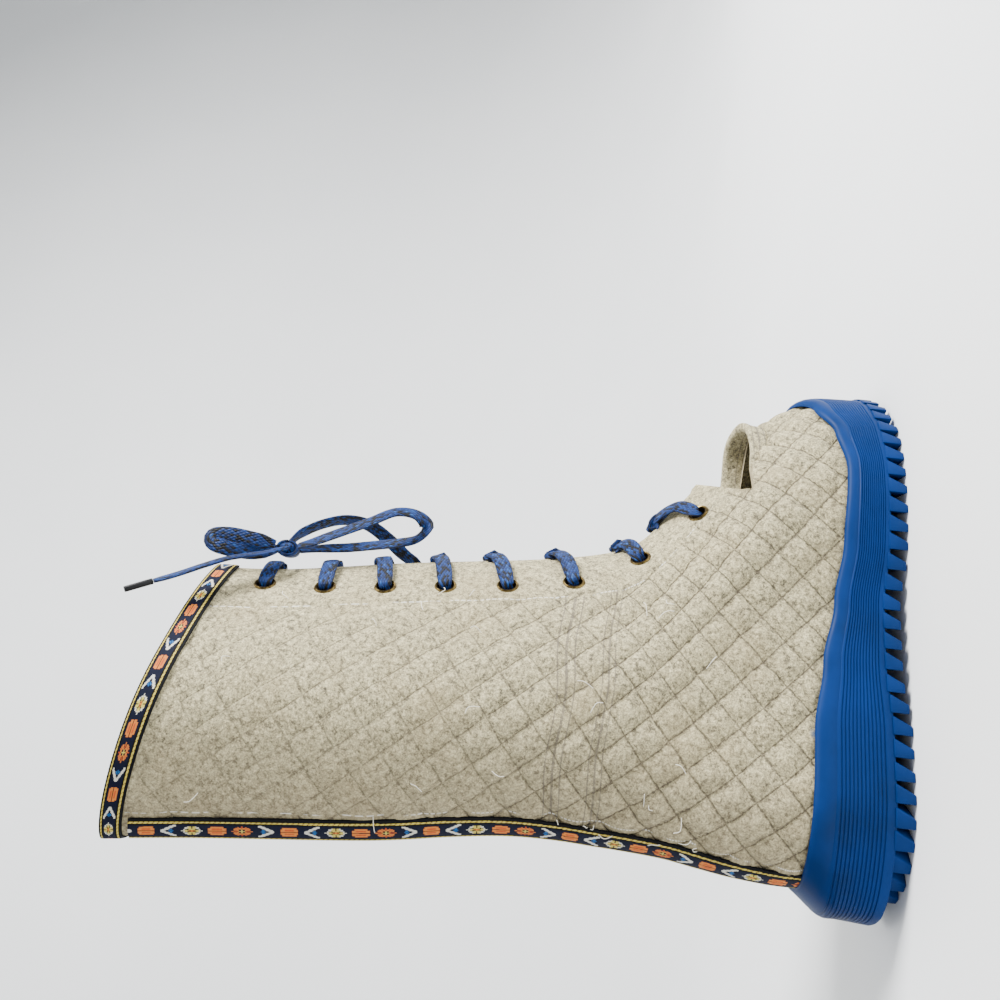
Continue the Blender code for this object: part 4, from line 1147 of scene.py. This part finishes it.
def buildEyelets():
    s = eyeletSettings
    material = agedBrassMaterial()
    hole, flange, crown, barrel = (s[key] * mm for key in ("hole", "flange", "crown", "barrel"))
    # half of the section is spun round the eyelet's axis
    section = [(hole, -barrel), (hole, 0.0), (hole + 0.0004, crown * 0.75), (hole + 0.0011, crown),
               (flange - 0.0008, crown * 0.8), (flange - 0.0003, crown * 0.35), (flange, -0.0001),
               (flange - 0.0005, -0.0004), (hole + 0.0007, -0.0004), (hole + 0.0007, -barrel)]
    bpy.ops.mesh.primitive_circle_add(vertices=len(section), radius=1, fill_type="NOTHING")
    model = started("eyeletModel", [(radius, 0, height) for radius, height in section])
    editAll(model, bpy.ops.mesh.spin, steps=32, angle=2 * math.pi, center=(0, 0, 0), axis=(0, 0, 1))
    facesOutward(model)
    smoothShade(model, 40)
    for number, (level, around) in enumerate(eyeletPlaces(), start=1):
        for side, label in ((-1, "outer"), (1, "inner")):
            mesh = model.data.copy()
            mesh.transform(onSkin(level, side * around))
            eyelet = bpy.data.objects.new("eyelet%s%d" % (label.capitalize(), number), mesh)
            bpy.context.scene.collection.objects.link(eyelet)
            dress(eyelet, material, "brass", "eyelet_%s_%d" % (label, number))
    bpy.data.objects.remove(model, do_unlink=True)
    print("eyelets set")


buildEyelets()


# lace strands: out of each eyelet, over the facing and down into the slit
def buildStrands():
    places = eyeletPlaces()
    for number, (level, around) in enumerate(places):
        above = places[max(0, number - 1)][0]
        meeting = level + (above - level) * eyeletRows[number][2]
        strands = []
        for side in (-1, 1):
            lean = 0.012 * side
            normal = skinNormal(level, side * around)
            seat = skin(level, side * around)
            toEdge = (skin(meeting, side * 0.99) - seat).normalized()
            keys = [seat - normal * 5.0 - toEdge * 0.2, seat - normal * 1.0, seat + normal * 1.9 + toEdge * 1.2]
            for share in (0.35, 0.6, 0.82, 0.96):
                hereLevel = level + (meeting - level) * share + lean * share
                hereAround = side * (around + (1 - around) * share)
                lift = 2.3 + 1.0 * math.sin(math.pi * share) + 0.5 * dice.random()
                keys.append(skin(hereLevel, hereAround) + skinNormal(hereLevel, hereAround) * lift)
            front = ringFront(meeting + lean)
            ahead = (skinNormal(meeting, 0.99) + skinNormal(meeting, -0.99)).normalized()
            keys.append(front + ahead * 1.6 + Vector((0, side * 0.9, 0)))
            keys.append(front - ahead * 4.5 + Vector((0, side * 0.3, 0)))
            route = smoothRoute(keys, 1.0)
            flat = []
            for index in range(len(route)):
                share = index / (len(route) - 1)
                flat.append((skinNormal(level, side * (around + (1 - around) * min(0.97, share)))
                             + toEdge * (2.5 * max(0, share - 0.75))
                             - toEdge * (3.0 * max(0, 0.22 - share))).normalized())

            def wide(share):
                return laceSizes["width"] * (0.72 + 0.28 * smoothStep((share - 0.05) / 0.25))

            strands.append(sweepLace("strand", route, flat, wide, 2.1, True, 40.0 * number))
        crossing = joined("laceCrossing%d" % (number + 1), strands)
        dress(crossing, laceMaterial, "lace", "lace_crossing_%d" % (number + 1))
    print("lace crossings laid")


buildStrands()


# loose thread ends on the quilting and beside the back ribbon
def buildThreads():
    # Cotton thread: pale, dry and matt.
    material = newMaterial("cottonThread", "#e4dfcf", 0.85)[0]
    dice = random.Random(5)
    strands = []
    spots = [(dice.uniform(0.9, 9.0), dice.uniform(0.12, 0.6)) for number in range(26)]
    spots += [(dice.uniform(5.0, 9.0), dice.uniform(0.09, 0.12)) for number in range(10)]
    spots += [(dice.uniform(1.1, 3.5), dice.uniform(0.55, 0.72)) for number in range(8)]
    for number, (level, around) in enumerate(spots):
        side = -1 if number % 3 else 1
        spot, normal = skin(level, side * around), skinNormal(level, side * around)
        across = normal.cross(Vector((0, 0, 1))).normalized()
        upward = across.cross(normal)
        turn, length = dice.uniform(0, 6.28), dice.uniform(3.0, 8.0)
        ahead = across * math.cos(turn) + upward * math.sin(turn)
        bow = ahead.cross(normal) * dice.uniform(-2.0, 2.0)
        keys = [spot + normal * 0.4, spot + normal * 1.9 + ahead * length * 0.35 + bow * 0.7,
                spot + normal * dice.uniform(1.8, 3.0) + ahead * length * 0.7 + bow,
                spot + normal * 2.0 + ahead * length]
        strands.append(sweepLace("threadEnd", smoothRoute(keys, 0.8), normal, 0.32, 0.32))
    threads = joined("looseThreads", strands)
    dress(threads, material, "felt")
    print("thread ends laid")


buildThreads()

# insole: the source's own solid
def insoleMaterial():
    # Needled felt: grey, matt, fibrous.
    material, node, finish = newMaterial("needledFeltInsole", "#8d887d", 0.95)
    fibres = node("TexNoise", {"Vector": node("TexCoord").outputs["Object"], "Scale": 900.0, "Detail": 4.0})
    finish({"Base Color": node("ValToRGB", (fibres,), ((0.3, "#6f6a60"), (0.7, "#a39e92"))),
            "Normal": node("Bump", {"Height": fibres, "Strength": 0.4, "Distance": 0.0006})})
    return material


insole = bpy.data.objects["insole"]
for place in insole.material_slots:
    place.material = insoleMaterial()
print("insole dressed")


# floor, light
def buildStage():
    # one pale sweep: floor, curve and wall
    floorEnd, bend, steps, halfWidth = 0.55, 0.9, 12, 4.0
    profile = [(-3.0, 0.0), (floorEnd, 0.0)]
    for step in range(1, steps + 1):
        angle = math.radians(90 * step / steps)
        profile.append((floorEnd + bend * math.sin(angle), bend - bend * math.cos(angle)))
    profile.append((floorEnd + bend, 3.5))
    bpy.ops.mesh.primitive_grid_add(x_subdivisions=1, y_subdivisions=len(profile) - 1, size=1)
    sweep = started("paleSweep", [(x, y, z) for y, z in profile for x in (-halfWidth, halfWidth)])
    smoothShade(sweep, 60)
    # Paper: pale, matt, faintly cloudy.
    material, node, finish = newMaterial("palePaper", "#eceeef", 0.9)
    cloud = node("TexNoise", {"Vector": node("TexCoord").outputs["Object"], "Scale": 3.0, "Detail": 3.0})
    finish({"Base Color": node("ValToRGB", (cloud,), ((0.0, "#e8eaeb"), (1.0, "#f3f4f4")))})
    sweep.data.materials.append(material)

    # name, place, size in metres, watts; all aim at the boot's middle
    lights = (("keyLight", (1.15, -0.7, 1.3), 0.7, 104.0), ("fillLight", (-1.2, -1.4, 0.9), 1.8, 10.0),
              ("topLight", (0.1, 0.1, 2.2), 1.8, 30.0))
    bootMiddle = Vector((0, 0, 0.17))
    for name, spot, size, power in lights:
        data = bpy.data.lights.new(name, "AREA")
        data.size = size
        data.energy = power
        light = bpy.data.objects.new(name, data)
        light.location = spot
        light.rotation_euler = (Vector(spot) - bootMiddle).to_track_quat("Z", "Y").to_euler()
        bpy.context.scene.collection.objects.link(light)
    world = bpy.data.worlds.new("softRoom")
    bpy.context.scene.world = world
    world.use_nodes = True
    world.node_tree.nodes["Background"].inputs[0].default_value = linear("#e6eaee")
    world.node_tree.nodes["Background"].inputs[1].default_value = 0.55
    print("stage set")


buildStage()

pickOnly()
